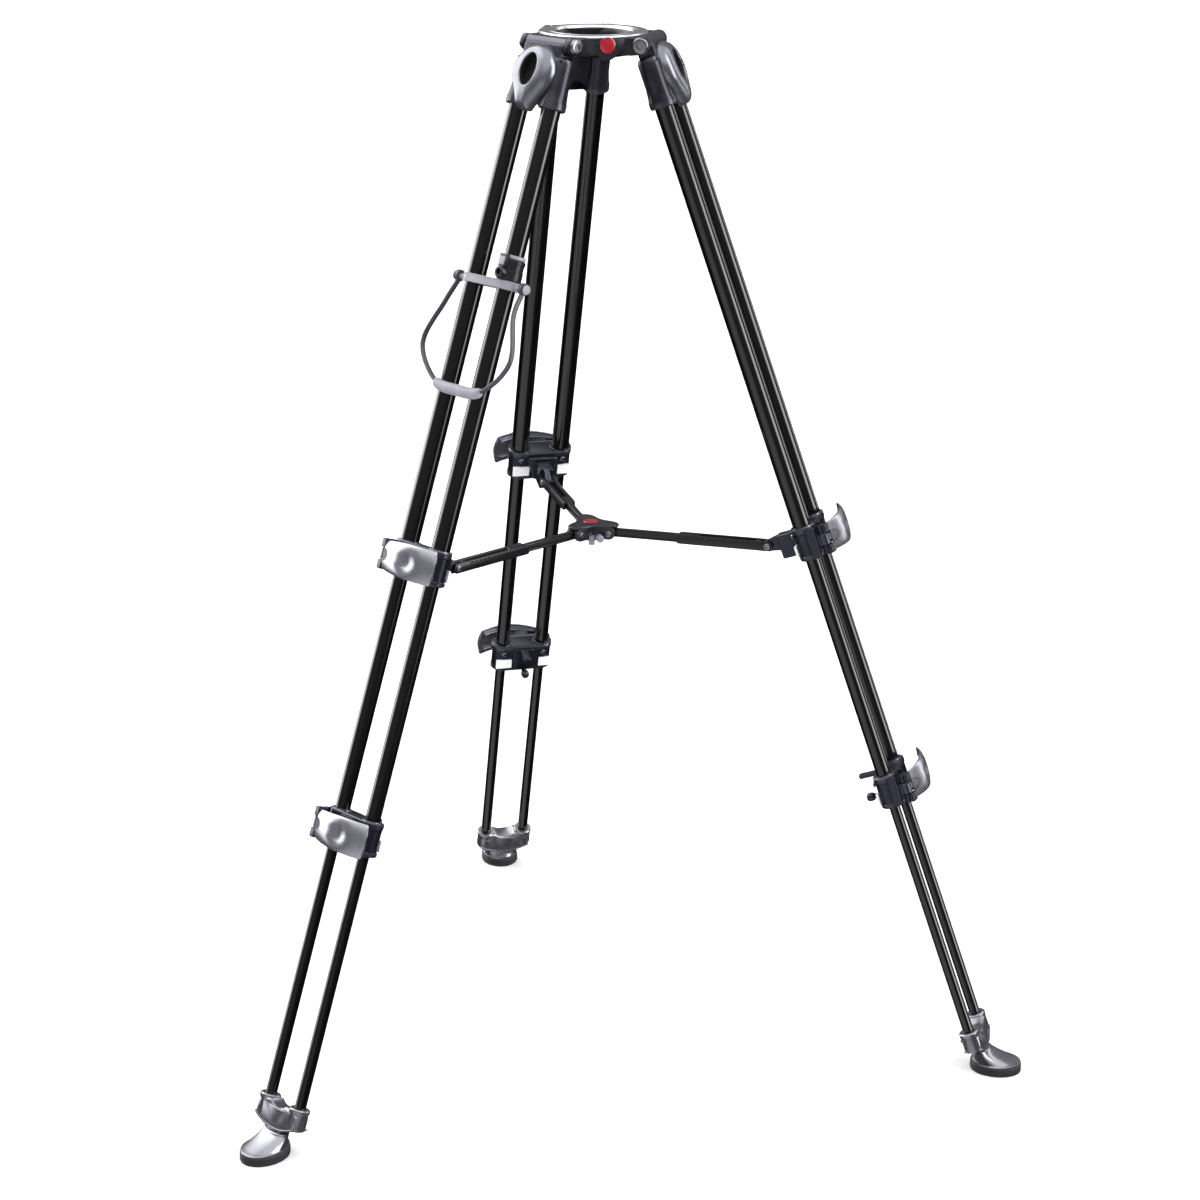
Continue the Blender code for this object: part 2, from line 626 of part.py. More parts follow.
def crown_mesh():
    """Cast crown: a ring round the bowl with a pair of hinge ears for each leg.

    Its origin is on the tripod's axis at the height of the hinges.
    """
    top = CROWN_ABOVE_HINGE
    floor = -CROWN_BELOW_HINGE
    ball_centre = top - BALL_DROP
    ring = turned([
        (0, top), (CROWN_RADIUS - RIM_EDGE, top), (CROWN_RADIUS, top - RIM_EDGE),
        (CROWN_RADIUS, -CROWN_SKIRT), (CROWN_RADIUS - RIM_EDGE, (floor - CROWN_SKIRT) / 2),
        (BOWL_NECK_RADIUS + BOWL_WALL, floor), (0, floor),
    ], sides=32, closed=False)
    seat = [(sqrt(BOWL_RADIUS**2 - drop**2), ball_centre - drop) for drop in SEAT_DROPS]
    void = turned(
        [(0, top + FLARE), (BOWL_LIP_RADIUS + FLARE, top + FLARE), (BOWL_LIP_RADIUS, top)]
        + seat + [(BOWL_NECK_RADIUS, floor - FLARE), (0, floor - FLARE)],
        sides=32, closed=False,
    )
    ear_low = BARREL_HALF + SIDE_PLAY
    ear_high = ear_low + EAR_THICKNESS
    ear_radius = BARREL_RADIUS + EAR_MARGIN
    root = HINGE_OFFSET - EAR_ROOT
    ear_side = [(root, top - GAP), (HINGE_OFFSET, top - GAP)]
    ear_side += arc(ear_radius, 60, -100, 8, (HINGE_OFFSET, 0))
    ear_side += [(root, -ear_radius)]
    seat_edge = HINGE_OFFSET - BARREL_RADIUS - EAR_MARGIN
    joined, cut = [], []
    for lean in LEGS.values():
        turn = Matrix.Rotation(lean - pi / 2, 4, "Z")
        bridge = block((-ear_high + GAP, ear_high - GAP),
                       (root + GAP, HINGE_OFFSET - BRIDGE_INSET),
                       (-ear_radius - 2 * GAP, top - 2 * GAP))
        joined.append(moved(bridge, turn))
        for side in (-1, 1):
            limits = sorted((side * (ear_low - EAR_SINK), side * ear_high))
            joined.append(moved(plate(ear_side, *limits, "X"), turn))
        cut.append(moved(block((-ear_low, ear_low), (seat_edge, HINGE_OFFSET + PAST),
                               (-PAST, PAST)), turn))
        cut.append(moved(cylinder(BOLT_RADIUS + GAP, -PAST, PAST, "X", (HINGE_OFFSET, 0)),
                         turn))
    pad = cylinder(BADGE_PAD_RADIUS, -CROWN_RADIUS - BADGE_PAD_OUT, RIM_WIDTH - CROWN_RADIUS
                   - RIM_EDGE, "Y", (0, top - BADGE_PAD_RADIUS - GAP))
    return combine(ring, [pad, *joined], [*cut, void])


def badge_mesh(radius, height):
    """A plain domed disc that lies on z = 0."""
    dome = [(0, height), (radius * 0.55, height * 0.9), (radius * 0.85, height * 0.6),
            (radius, height * 0.2), (radius, 0), (0, 0)]
    return turned(dome, closed=False)


def hub_mesh():
    """Spreader hub, origin at the height of its pivots: core, cover and three clevises."""
    cheek_low = BAR_HALF + SIDE_PLAY
    cheek_high = cheek_low + CHEEK
    cheek_radius = ARM_EYE_RADIUS + CHEEK_MARGIN
    cover_low = ARM_EYE_RADIUS + COVER_CLEAR
    cover_high = cover_low + COVER
    cheek_top = cover_high - CHEEK_MARGIN
    core = cylinder(HUB_CORE_RADIUS, -HUB_CORE_DROP, cover_high - 0.5 * JOIN)
    lobe_half = HUB_CORE_RADIUS - 2 * JOIN
    joined = []
    for lean in LEGS.values():
        turn = Matrix.Rotation(lean - pi / 2, 4, "Z")
        lobe = arc(cheek_high + CHEEK_MARGIN, 0, 180, 8, (0, HUB_PIVOT_RADIUS + CHEEK_MARGIN))
        lobe += [(-lobe_half, 0), (lobe_half, 0)]
        joined.append(moved(plate(lobe, cover_low, cover_high), turn))
        side = arc(cheek_radius, -90, 60, 8, (HUB_PIVOT_RADIUS, 0))
        side += [(HUB_PIVOT_RADIUS, cheek_top), (CHEEK_ROOT, cheek_top),
                 (CHEEK_ROOT, -cheek_radius)]
        for wing in (-1, 1):
            limits = sorted((wing * cheek_low, wing * cheek_high))
            joined.append(moved(plate(side, *limits, "X"), turn))
        pin_half = cheek_low + JOIN
        joined.append(moved(cylinder(ARM_PIN_RADIUS, -pin_half, pin_half, "X",
                                     (HUB_PIVOT_RADIUS, 0), SMALL_ROUND), turn))
    return combine(core, joined)


# ---------------------------------------------------------------- carry handle

def band_mesh():
    """Clip across both tubes with a stud at each end for the handle's eyes."""
    half = TUBE_SPACING / 2
    outer = UPPER_RADIUS + BAND_WALL
    body = plate(stadium(half, outer), -BAND_HEIGHT / 2, BAND_HEIGHT / 2)
    head_low = HANDLE_HALF + STRAP_RADIUS + SIDE_PLAY + GAP
    studs = []
    for side in (-1, 1):
        shaft = sorted((side * (half + outer - BAND_WALL), side * (head_low + GAP)))
        head = sorted((side * head_low, side * (head_low + STUD_HEAD_THICKNESS)))
        studs.append(cylinder(STUD_RADIUS, *shaft, "X", sides=SMALL_ROUND))
        studs.append(cylinder(STUD_RADIUS + STUD_HEAD, *head, "X", sides=SMALL_ROUND))
    bores = [cylinder(UPPER_RADIUS + GAP, -PAST, PAST, centre=(x, 0)) for x in (-half, half)]
    return combine(body, studs, bores)


def clamp_mesh():
    """Small clamp on one tube over the band, with a round boss on its face."""
    outer = UPPER_RADIUS + CLAMP_WALL
    body = cylinder(outer, 0, CLAMP_HEIGHT)
    boss = cylinder(CLAMP_BOSS_RADIUS, outer - 2 * CLAMP_WALL + JOIN, outer + CLAMP_WALL, "Y",
                    (0, CLAMP_BOSS_RADIUS + CLAMP_WALL / 2), SMALL_ROUND)
    bore = cylinder(UPPER_RADIUS + GAP, -PAST, PAST)
    return combine(body, [boss], [bore])


def handle_route():
    """Knots from one stud to the other, down round the grip, in the stud's frame."""
    out = UPPER_RADIUS + GRIP_RADIUS + 0.6 * MM
    right = [
        (HANDLE_HALF, 0, -4 * MM),
        (HANDLE_HALF + 4 * MM, out * 0.5, -30 * MM),
        (HANDLE_BELLY, out * 0.85, -HANDLE_HANG * 0.66),
        (HANDLE_BELLY * 0.55, out, -HANDLE_HANG + 5 * MM),
    ]
    bottom = [(0, out, -HANDLE_HANG)]
    left = [(-x, y, z) for x, y, z in reversed(right)]
    lean = [(x - HANDLE_LEAN * (z / HANDLE_HANG) ** 2, y, z) for x, y, z in
            right + bottom + left]
    return lean


def strap_meshes():
    """The two side straps, each from its eye at the stud to its end in the grip."""
    route = handle_route()
    made = []
    for side, knots in ((1, route[:4]), (-1, route[5:][::-1])):
        inward = Vector(route[4]) - Vector(knots[-1])
        tucked = knots + [tuple(Vector(knots[-1]) + inward * 0.25)]
        eye = cylinder(STUD_RADIUS + EYE_WALL, *sorted(
            (side * (HANDLE_HALF - EYE_HALF), side * (HANDLE_HALF + EYE_HALF))), "X")
        hole = cylinder(STUD_RADIUS + PIVOT_PLAY, -2 * PAST, 2 * PAST, "X")
        made.append(combine(rod(tucked, STRAP_RADIUS), [eye], [hole]))
    return made


def grip_mesh():
    """The padded grip, bored at both ends for the straps."""
    route = handle_route()
    knots = route[3:6]
    bores = [rod(route[:4] + [tuple((Vector(route[3]) * 0.7 + Vector(route[4]) * 0.3))],
                 STRAP_RADIUS + 2 * GAP),
             rod([tuple((Vector(route[5]) * 0.7 + Vector(route[4]) * 0.3))] + route[5:],
                 STRAP_RADIUS + 2 * GAP)]
    return combine(rod(knots, GRIP_RADIUS, 3), [], bores)


# ---------------------------------------------------------------- assembly

def footprint_middle():
    """Y of the tripod's axis that puts the footprint's box round the origin."""
    sole = oval(SOLE_HALF_WIDTH, SOLE_HALF_LENGTH, SOLE_FORWARD)
    reach = []
    for lean in LEGS.values():
        for x, y in sole:
            reach.append(x * sin(lean - pi / 2) + (FOOT_REACH + y) * sin(lean))
    return -(max(reach) + min(reach)) / 2


def leg_point(lean, out=0.0, down=0.0, across=0.0):
    """World place of a point given in a leg's frame."""
    frame = Matrix.Rotation(lean - pi / 2, 4, "Z")
    base = frame @ Vector((0, HINGE_OFFSET, 0))
    tilt = frame @ Matrix.Rotation(SPREAD, 4, "X")
    return tripod_axis + base + tilt @ Vector((across, out, -down))


def build_leg(name, lean):
    """All sixteen pieces of one leg and its spreader arm, plus the sole."""
    half = TUBE_SPACING / 2
    leg = add_frame(name + "_hinge", leg_point(lean), (SPREAD, 0, lean - pi / 2))
    add_piece(name + "_shoulder", SHOULDER, CHARCOAL_CASTING, leg)
    add_piece(name + "_hinge_bolt", BOLT, BRIGHT_STEEL, leg)
    lock_middle = LOCK_HEIGHT / 2
    for side, x in (("tube_a", -half), ("tube_b", half)):
        add_piece(f"{name}_upper_{side}", UPPER_TUBE, BLACK_TUBE, leg, (x, 0, 0))
        add_piece(f"{name}_middle_{side}", MIDDLE_TUBE, BLACK_TUBE, leg, (x, 0, 0))
        add_piece(f"{name}_lower_{side}", LOWER_TUBE, BLACK_TUBE, leg, (x, 0, 0))
    add_piece(name + "_first_lock", FIRST_COLLAR, CHARCOAL_CASTING, leg, (0, 0, -FIRST_LOCK))
    add_piece(name + "_second_lock", SECOND_COLLAR, CHARCOAL_CASTING, leg,
              (0, 0, -SECOND_LOCK))
    for lock, top in (("first", FIRST_LOCK), ("second", SECOND_LOCK)):
        add_piece(f"{name}_{lock}_lever", LEVER, SILVER_CASTING, leg,
                  (*LEVER_PIVOT, -top - lock_middle))
    add_piece(name + "_ankle", ANKLE_CASTING, SILVER_CASTING, leg, (0, 0, -ANKLE))
    foot = add_frame(name + "_foot_pivot", leg_point(lean, 0, FOOT_PIVOT),
                     (0, 0, lean - pi / 2))
    add_piece(name + "_boot", BOOT, GREY_CASTING, foot)
    add_piece(name + "_sole", SOLE, RUBBER, foot)
    arm = add_frame(name + "_arm_pivot",
                    leg_point(lean, -ARM_INSET, FIRST_LOCK + ARM_DROP), (0, 0, lean - pi / 2))
    add_piece(name + "_arm_fork", FORK, BLACK_PLASTIC, arm)
    reach = leg_point(lean, -ARM_INSET, FIRST_LOCK + ARM_DROP)
    inner = Vector((tripod_axis.x, tripod_axis.y, reach.z))
    inner += Vector((cos(lean), sin(lean), 0)) * HUB_PIVOT_RADIUS
    bar = add_frame(name + "_hub_pivot", inner, (0, 0, lean - pi / 2))
    add_piece(name + "_arm_bar", BAR, BLACK_PLASTIC, bar)
    return leg


clear_scene()
PARTS = collection("video_tripod")
CUTTERS = collection("cutters", hidden=True)
tripod_axis = Vector((0, footprint_middle(), HINGE_HEIGHT))

SHOULDER = shoulder_mesh()
BOLT = bolt_mesh()
UPPER_TUBE = tube_mesh(UPPER_RADIUS, SHOULDER_LENGTH - SOCKET_DEPTH + GAP,
                       FIRST_LOCK + LOCK_HEIGHT - LOCK_STOP - GAP)
MIDDLE_TUBE = tube_mesh(MIDDLE_RADIUS, FIRST_LOCK - MIDDLE_INSERT,
                        SECOND_LOCK + LOCK_HEIGHT - LOCK_STOP - GAP)
LOWER_TUBE = tube_mesh(LOWER_RADIUS, SECOND_LOCK - LOWER_INSERT,
                       ANKLE + ANKLE_SOCKET - GAP)
FIRST_COLLAR = lock_mesh(UPPER_RADIUS, MIDDLE_RADIUS, carries_arm=True)
SECOND_COLLAR = lock_mesh(MIDDLE_RADIUS, LOWER_RADIUS, carries_arm=False)
LEVER = lever_mesh()
ANKLE_CASTING = ankle_mesh()
BOOT = boot_mesh()
SOLE = sole_mesh()
FORK = fork_mesh()
BAR = bar_mesh()

leg_frames = {name: build_leg(name, lean) for name, lean in LEGS.items()}

crown_frame = add_frame("crown_centre", tripod_axis)
add_piece("crown", crown_mesh(), DARK_CROWN, crown_frame)
badge_out = CROWN_RADIUS + BADGE_PAD_OUT + GAP
add_piece("crown_badge", badge_mesh(BADGE_RADIUS, BADGE_HEIGHT), RED, crown_frame,
          (0, -badge_out, CROWN_ABOVE_HINGE - BADGE_RADIUS - BADGE_DROP), (pi / 2, 0, 0))

hub_height = leg_point(LEGS["rear"], -ARM_INSET, FIRST_LOCK + ARM_DROP).z
hub_frame = add_frame("hub_centre", (0, tripod_axis.y, hub_height))
add_piece("spreader_hub", hub_mesh(), BLACK_PLASTIC, hub_frame)
hub_top = ARM_EYE_RADIUS + COVER_CLEAR + COVER + GAP
add_piece("hub_badge", badge_mesh(BADGE_RADIUS, BADGE_HEIGHT), RED, hub_frame, (0, 0, hub_top))

handle_frame = add_frame("handle_studs", (0, 0, -HANDLE_DOWN), parent=leg_frames[HANDLE_LEG])
add_piece("handle_band", band_mesh(), GREY_STRAP, handle_frame)
add_piece("handle_clamp", clamp_mesh(), BLACK_PLASTIC, handle_frame,
          (-TUBE_SPACING / 2, 0, BAND_HEIGHT / 2 + GAP))
for side, strap in zip(("b", "a"), strap_meshes()):
    add_piece("handle_strap_" + side, strap, GREY_STRAP, handle_frame)
add_piece("handle_grip", grip_mesh(), GREY_STRAP, handle_frame)
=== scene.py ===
import json
import math

import bmesh
import bpy
import numpy as np
from mathutils import Matrix, Vector


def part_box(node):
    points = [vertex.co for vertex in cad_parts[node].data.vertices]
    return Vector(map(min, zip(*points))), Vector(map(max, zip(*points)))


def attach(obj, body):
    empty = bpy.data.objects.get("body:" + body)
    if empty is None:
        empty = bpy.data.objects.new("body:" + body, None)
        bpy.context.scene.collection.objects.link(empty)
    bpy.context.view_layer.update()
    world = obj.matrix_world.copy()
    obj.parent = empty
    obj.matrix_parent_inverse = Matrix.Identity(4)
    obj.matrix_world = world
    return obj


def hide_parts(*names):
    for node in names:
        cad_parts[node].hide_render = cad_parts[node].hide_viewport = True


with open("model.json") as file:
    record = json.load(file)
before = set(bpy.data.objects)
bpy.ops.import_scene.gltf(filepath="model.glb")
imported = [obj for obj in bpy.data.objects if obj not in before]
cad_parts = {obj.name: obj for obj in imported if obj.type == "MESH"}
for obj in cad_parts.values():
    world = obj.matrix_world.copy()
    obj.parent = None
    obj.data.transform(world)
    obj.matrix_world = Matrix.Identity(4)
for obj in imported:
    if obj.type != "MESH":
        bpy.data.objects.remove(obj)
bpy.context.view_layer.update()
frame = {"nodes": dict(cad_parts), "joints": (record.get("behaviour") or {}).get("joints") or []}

# ---------------------------------------------------------------- camera, floor and light
# The tripod stands on a plain pale studio floor. The camera looks down on it from the
# front, a little to the left of the front pair of legs.

JOINTS = {joint["name"]: joint for joint in frame["joints"]}
LEGS = ("front_left", "front_right", "rear")
hinge_places = np.array([JOINTS[leg + "_leg_fold"]["pos_m"] for leg in LEGS])
axis_place = hinge_places.mean(axis=0)

VIEW_DISTANCE = 2.941  # from the tripod's axis, level
VIEW_HEIGHT = 1.4599
VIEW_TURN = -0.2513  # radians round from the front, to the left
VIEW_YAW = -0.0036
VIEW_PITCH = -0.3147
VIEW_ROLL = 0.0062
LENS = 84.69  # mm on a 36 mm sensor

heading = VIEW_TURN + VIEW_YAW
forward = Vector((
    -math.sin(heading) * math.cos(VIEW_PITCH),
    math.cos(heading) * math.cos(VIEW_PITCH),
    math.sin(VIEW_PITCH),
))
level_right = forward.cross(Vector((0, 0, 1))).normalized()
level_up = level_right.cross(forward)
right = level_right * math.cos(VIEW_ROLL) + level_up * math.sin(VIEW_ROLL)
up = level_up * math.cos(VIEW_ROLL) - level_right * math.sin(VIEW_ROLL)
camera = bpy.data.objects.new("camera", bpy.data.cameras.new("camera"))
camera.data.lens = LENS
camera.data.sensor_width = 36
camera.matrix_world = Matrix((
    (right.x, up.x, -forward.x, axis_place[0] + VIEW_DISTANCE * math.sin(VIEW_TURN)),
    (right.y, up.y, -forward.y, axis_place[1] - VIEW_DISTANCE * math.cos(VIEW_TURN)),
    (right.z, up.z, -forward.z, VIEW_HEIGHT),
    (0, 0, 0, 1),
))
bpy.context.scene.collection.objects.link(camera)
bpy.context.scene.camera = camera


def linear(code):
    """An sRGB hex colour as linear light: each channel through the sRGB curve."""
    value = np.array([int(code[i:i + 2], 16) for i in (1, 3, 5)]) / 255
    light = np.where(value <= 0.04045, value / 12.92, ((value + 0.055) / 1.055) ** 2.4)
    return (*light.tolist(), 1.0)


def add(tree, kind, inputs=None, **settings):
    """A node with its settings, and its inputs set to values or linked to sockets."""
    made = tree.nodes.new(kind)
    for name, value in settings.items():
        setattr(made, name, value)
    for name, value in (inputs or {}).items():
        if isinstance(value, bpy.types.NodeSocket):
            tree.links.new(value, made.inputs[name])
        else:
            made.inputs[name].default_value = value
    return made


def new_finish(name, roughness, metallic):
    """A material with its shader's even values set; returns it, its tree and the shader."""
    made = bpy.data.materials.new(name)
    made.use_nodes = True
    shader = made.node_tree.nodes["Principled BSDF"]
    shader.inputs["Roughness"].default_value = roughness
    shader.inputs["Metallic"].default_value = metallic
    return made, made.node_tree, shader


FLOOR_SIZE = 60
floor_mesh = bpy.data.meshes.new("floor")
reach = FLOOR_SIZE / 2
floor_mesh.from_pydata(
    [(-reach, -reach, 0), (reach, -reach, 0), (reach, reach, 0), (-reach, reach, 0)],
    [], [(0, 1, 2, 3)])
floor = bpy.data.objects.new("floor", floor_mesh)
bpy.context.scene.collection.objects.link(floor)
floor_finish, _, floor_shader = new_finish("matt_studio_paper", 0.9, 0.0)
floor_shader.inputs["Base Color"].default_value = linear("#f7f7f7")
floor_shader.inputs["Specular IOR Level"].default_value = 0.1
floor_mesh.materials.append(floor_finish)

floor.visible_glossy = False

# A tent of soft light: a large sheet overhead, tall strips at the sides and a dark ground
# for the metal to reflect. Each strip is a band of directions either side of an upright
# plane, on the side that the strip faces.
world = bpy.data.worlds.new("studio")
bpy.context.scene.world = world
world.use_nodes = True
sky = world.node_tree
toward = add(sky, "ShaderNodeTexCoord").outputs["Generated"]


def soft_step(tree, value, start, end, height):
    """A smooth rise from 0 at the start to a height at the end."""
    return add(tree, "ShaderNodeMapRange", {"Value": value, "From Min": start,
                                            "From Max": end, "To Max": height},
               interpolation_type="SMOOTHSTEP").outputs[0]


def facing(tree, direction):
    """How far a direction points along another: their dot product."""
    return add(tree, "ShaderNodeVectorMath", {0: toward, 1: direction},
               operation="DOT_PRODUCT").outputs["Value"]


STRIPS = (  # bearing in degrees, half width, brightness
    (135, 0.55, 4.0), (325, 0.30, 6.0), (20, 0.12, 3.0),
)
glow = soft_step(sky, facing(sky, (-0.12, -0.20, 0.97)), 0.55, 0.9, 1.5)
for bearing, half_width, brightness in STRIPS:
    c, s = math.cos(math.radians(bearing)), math.sin(math.radians(bearing))
    off = add(sky, "ShaderNodeMath", {0: facing(sky, (-s, c, 0))}, operation="ABSOLUTE")
    near = soft_step(sky, off.outputs[0], half_width, half_width * 0.5, brightness)
    ahead = soft_step(sky, facing(sky, (c, s, 0)), 0.35, 0.7, 1.0)
    above = soft_step(sky, facing(sky, (0, 0, 1)), -0.25, -0.05, 1.0)
    strip = add(sky, "ShaderNodeMath", {0: near, 1: ahead}, operation="MULTIPLY")
    strip = add(sky, "ShaderNodeMath", {0: strip.outputs[0], 1: above}, operation="MULTIPLY")
    glow = add(sky, "ShaderNodeMath", {0: glow, 1: strip.outputs[0]}, operation="ADD")
    glow = glow.outputs[0]
ambient = soft_step(sky, facing(sky, (0, 0, 1)), -0.3, 0.3, 0.2)
bounce = soft_step(sky, facing(sky, (-0.55, -0.55, -0.63)), 0.6, 0.95, 0.8)
glow = add(sky, "ShaderNodeMath", {0: glow, 1: bounce}, operation="ADD").outputs[0]
glow = add(sky, "ShaderNodeMath", {0: glow, 1: ambient}, operation="ADD")
sky.nodes["Background"].inputs["Color"].default_value = (1, 1, 1, 1)
sky.links.new(glow.outputs[0], sky.nodes["Background"].inputs["Strength"])
bpy.context.scene.view_settings.view_transform = "Standard"

# ---------------------------------------------------------------- tubes
# Each leg is a pair of drawn aluminium tubes in three stages, black anodised and sealed
# to a gloss. They keep faint lines along their length from the drawing die.

TUBE_SPACING = 0.048
UPPER_RADIUS = 0.010
MIDDLE_RADIUS = 0.008
LOWER_RADIUS = 0.006
TUBE_WALL = 0.0012
TUBE_EDGE = 0.0004
SIDES = {"a": -TUBE_SPACING / 2, "b": TUBE_SPACING / 2}


def frame_of(x_axis, z_axis, origin):
    """A place as a 4 by 4 matrix from two axes at right angles and an origin."""
    place = np.eye(4)
    place[:3, 0] = x_axis
    place[:3, 1] = np.cross(z_axis, x_axis)
    place[:3, 2] = z_axis
    place[:3, 3] = origin
    return place


def inside(place, point):
    """A world point in a place's own coordinates."""
    return np.linalg.inv(place)[:3] @ np.array([*point, 1.0])


def shifted(place, x=0.0, y=0.0, z=0.0):
    """The same place moved along its own axes."""
    move = np.eye(4)
    move[:3, 3] = (x, y, z)
    return place @ move


LEG_PLACES = {
    leg: frame_of(
        JOINTS[leg + "_leg_fold"]["axis"],
        -np.array(JOINTS[leg + "_middle_slide"]["axis"]),
        JOINTS[leg + "_leg_fold"]["pos_m"],
    )
    for leg in LEGS
}

TURN_ORDER = {"x": (1, 2, 0), "y": (0, 2, 1), "z": (0, 1, 2)}


def stacked(outlines, heights, axis="z", centre=(0.0, 0.0)):
    """Flat outlines set at heights along an axis: rings of points in space."""
    across, along, rise = TURN_ORDER[axis]
    rings = np.empty((*outlines.shape[:2], 3))
    rings[..., across] = outlines[..., 0] + centre[0]
    rings[..., along] = outlines[..., 1] + centre[1]
    rings[..., rise] = np.asarray(heights)[:, None]
    return rings


def skin(rings, wrap=False):
    """A closed surface through a stack of equal rings.

    Point i of each ring joins point i of the next. The first and last rings are closed
    by a flat face each, or joined to each other when the stack wraps.
    """
    levels, count, _ = rings.shape
    here = np.arange(levels * count).reshape(levels, count)
    beside = np.roll(here, -1, axis=1)
    quads = np.stack(
        [here, beside, np.roll(beside, -1, axis=0), np.roll(here, -1, axis=0)], axis=-1)
    faces = quads[:levels if wrap else levels - 1].reshape(-1, 4).tolist()
    if not wrap:
        faces += [here[0, ::-1].tolist(), here[-1].tolist()]
    return rings.reshape(-1, 3), faces


def circle(count):
    """Points of the unit circle, evenly spaced."""
    turn = np.linspace(0, 2 * np.pi, count, endpoint=False)
    return np.stack([np.cos(turn), np.sin(turn)], axis=-1)


def turned(profile, axis="z", centre=(0.0, 0.0), wrap=False, count=48):
    """A turned shape: the unit circle scaled by each radius, at each height."""
    profile = np.array(profile)
    rings = stacked(profile[:, :1, None] * circle(count), profile[:, 1], axis, centre)
    return skin(rings, wrap)


def piece(name, shells, place, body, nodes, finish, sharp=40):
    """One object from closed skins drawn in a place's own coordinates.

    Its own coordinates are kept in the attribute own_place, so a pattern can follow it.
    """
    counts = np.cumsum([0] + [len(points) for points, _ in shells])
    own = np.vstack([points for points, _ in shells])
    faces = [[corner + start for corner in face]
             for (_, ring_faces), start in zip(shells, counts) for face in ring_faces]
    mesh = bpy.data.meshes.new(name)
    mesh.from_pydata((own @ place[:3, :3].T + place[:3, 3]).tolist(), [], faces)
    pattern = mesh.attributes.new("own_place", "FLOAT_VECTOR", "POINT")
    pattern.data.foreach_set("vector", own.astype(np.float32).ravel())
    work = bmesh.new()
    work.from_mesh(mesh)
    bmesh.ops.recalc_face_normals(work, faces=work.faces)
    work.to_mesh(mesh)
    work.free()
    mesh.shade_smooth()
    mesh.set_sharp_from_angle(angle=math.radians(sharp))
    mesh.materials.append(finish)
    made = bpy.data.objects.new(name, mesh)
    bpy.context.scene.collection.objects.link(made)
    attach(made, body)
    if nodes:
        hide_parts(*nodes)
    return made


def pattern_place(tree):
    """The socket that gives a piece's own coordinates, in metres."""
    return add(tree, "ShaderNodeAttribute", attribute_name="own_place").outputs["Vector"]


def black_anodised_tube():
    """Glossy black anodising: a deep oxide film over metal, darker than any paint.

    Drawing lines run along the tube; real ones are finer than 0.1 mm, and are drawn
    0.6 mm apart so that they show.
    """
    made, tree, shader = new_finish("black_anodised_aluminium", 0.16, 0.3)
    own = pattern_place(tree)
    lines = add(tree, "ShaderNodeMapping", {"Vector": own, "Scale": (1600, 1600, 9)})
    drawn = add(tree, "ShaderNodeTexNoise", {"Vector": lines.outputs[0], "Scale": 1.0,
                                             "Detail": 3.0})
    cloud = add(tree, "ShaderNodeTexNoise", {"Vector": own, "Scale": 18.0, "Detail": 2.0})
    tone = add(tree, "ShaderNodeMix", {0: cloud.outputs["Fac"], 6: linear("#060607"),
                                       7: linear("#101013")}, data_type="RGBA")
    gloss = add(tree, "ShaderNodeMapRange", {"Value": drawn.outputs["Fac"], "To Min": 0.12,
                                             "To Max": 0.19})
    relief = add(tree, "ShaderNodeBump", {"Height": drawn.outputs["Fac"], "Strength": 0.02,
                                          "Distance": 0.0001})
    tree.links.new(tone.outputs[2], shader.inputs["Base Color"])
    tree.links.new(gloss.outputs[0], shader.inputs["Roughness"])
    tree.links.new(relief.outputs[0], shader.inputs["Normal"])
    shader.inputs["Coat Weight"].default_value = 0.7
    shader.inputs["Coat Roughness"].default_value = 0.08
    return made


def tube(radius, top, bottom):
    """A tube's wall, its ends slightly rounded, as a closed loop turned about its axis."""
    bore = radius - TUBE_WALL
    return turned([
        (radius - TUBE_EDGE, top), (radius, top - TUBE_EDGE), (radius, bottom + TUBE_EDGE),
        (radius - TUBE_EDGE, bottom), (bore, bottom), (bore, top),
    ], wrap=True, count=56)


TUBE_FINISH = black_anodised_tube()
STAGES = (("upper", UPPER_RADIUS, "leg"), ("middle", MIDDLE_RADIUS, "middle"),
          ("lower", LOWER_RADIUS, "lower"))
for leg, place in LEG_PLACES.items():
    for stage, radius, body in STAGES:
        for side, across in SIDES.items():
            node = f"{leg}_{stage}_tube_{side}"
            corners = np.array([v.co for v in frame["nodes"][node].data.vertices])
            along = (corners - place[:3, 3]) @ place[:3, 2]
            piece(node + "_drawn", [tube(radius, along.max(), along.min())],
                  shifted(place, across), f"{leg}_{body}", [node], TUBE_FINISH)

# ---------------------------------------------------------------- crown and bowl
# The crown is one die casting: a ring with a bowl turned inside for the half ball of a
# head, and a pair of ears for each leg. It is painted dark and its top is machined bright.

CROWN_PLACE = frame_of((1, 0, 0), (0, 0, 1), axis_place)
crown_low, crown_high = (np.array(corner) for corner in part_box("crown"))
CROWN_TOP = crown_high[2] - axis_place[2]
CROWN_FLOOR = crown_low[2] - axis_place[2]
CROWN_RADIUS = 0.057
LIP_RADIUS = 0.042
BOWL_RADIUS = 0.0375
NECK_RADIUS = 0.0285
HINGE_OFFSET = float(np.hypot(*(hinge_places[0] - axis_place)[:2]))
BARREL_RADIUS = 0.009
BARREL_HALF = TUBE_SPACING / 2 + 0.0048
EAR_THICKNESS = 0.007
EAR_GAP = 0.0005


def outward(outline):
    """Unit normals of a flat outline that runs anticlockwise, from its neighbours' chord."""
    chord = np.roll(outline, -1, axis=0) - np.roll(outline, 1, axis=0)
    normal = np.stack([chord[:, 1], -chord[:, 0]], axis=-1)
    return normal / np.maximum(np.linalg.norm(normal, axis=1, keepdims=True), 1e-9)


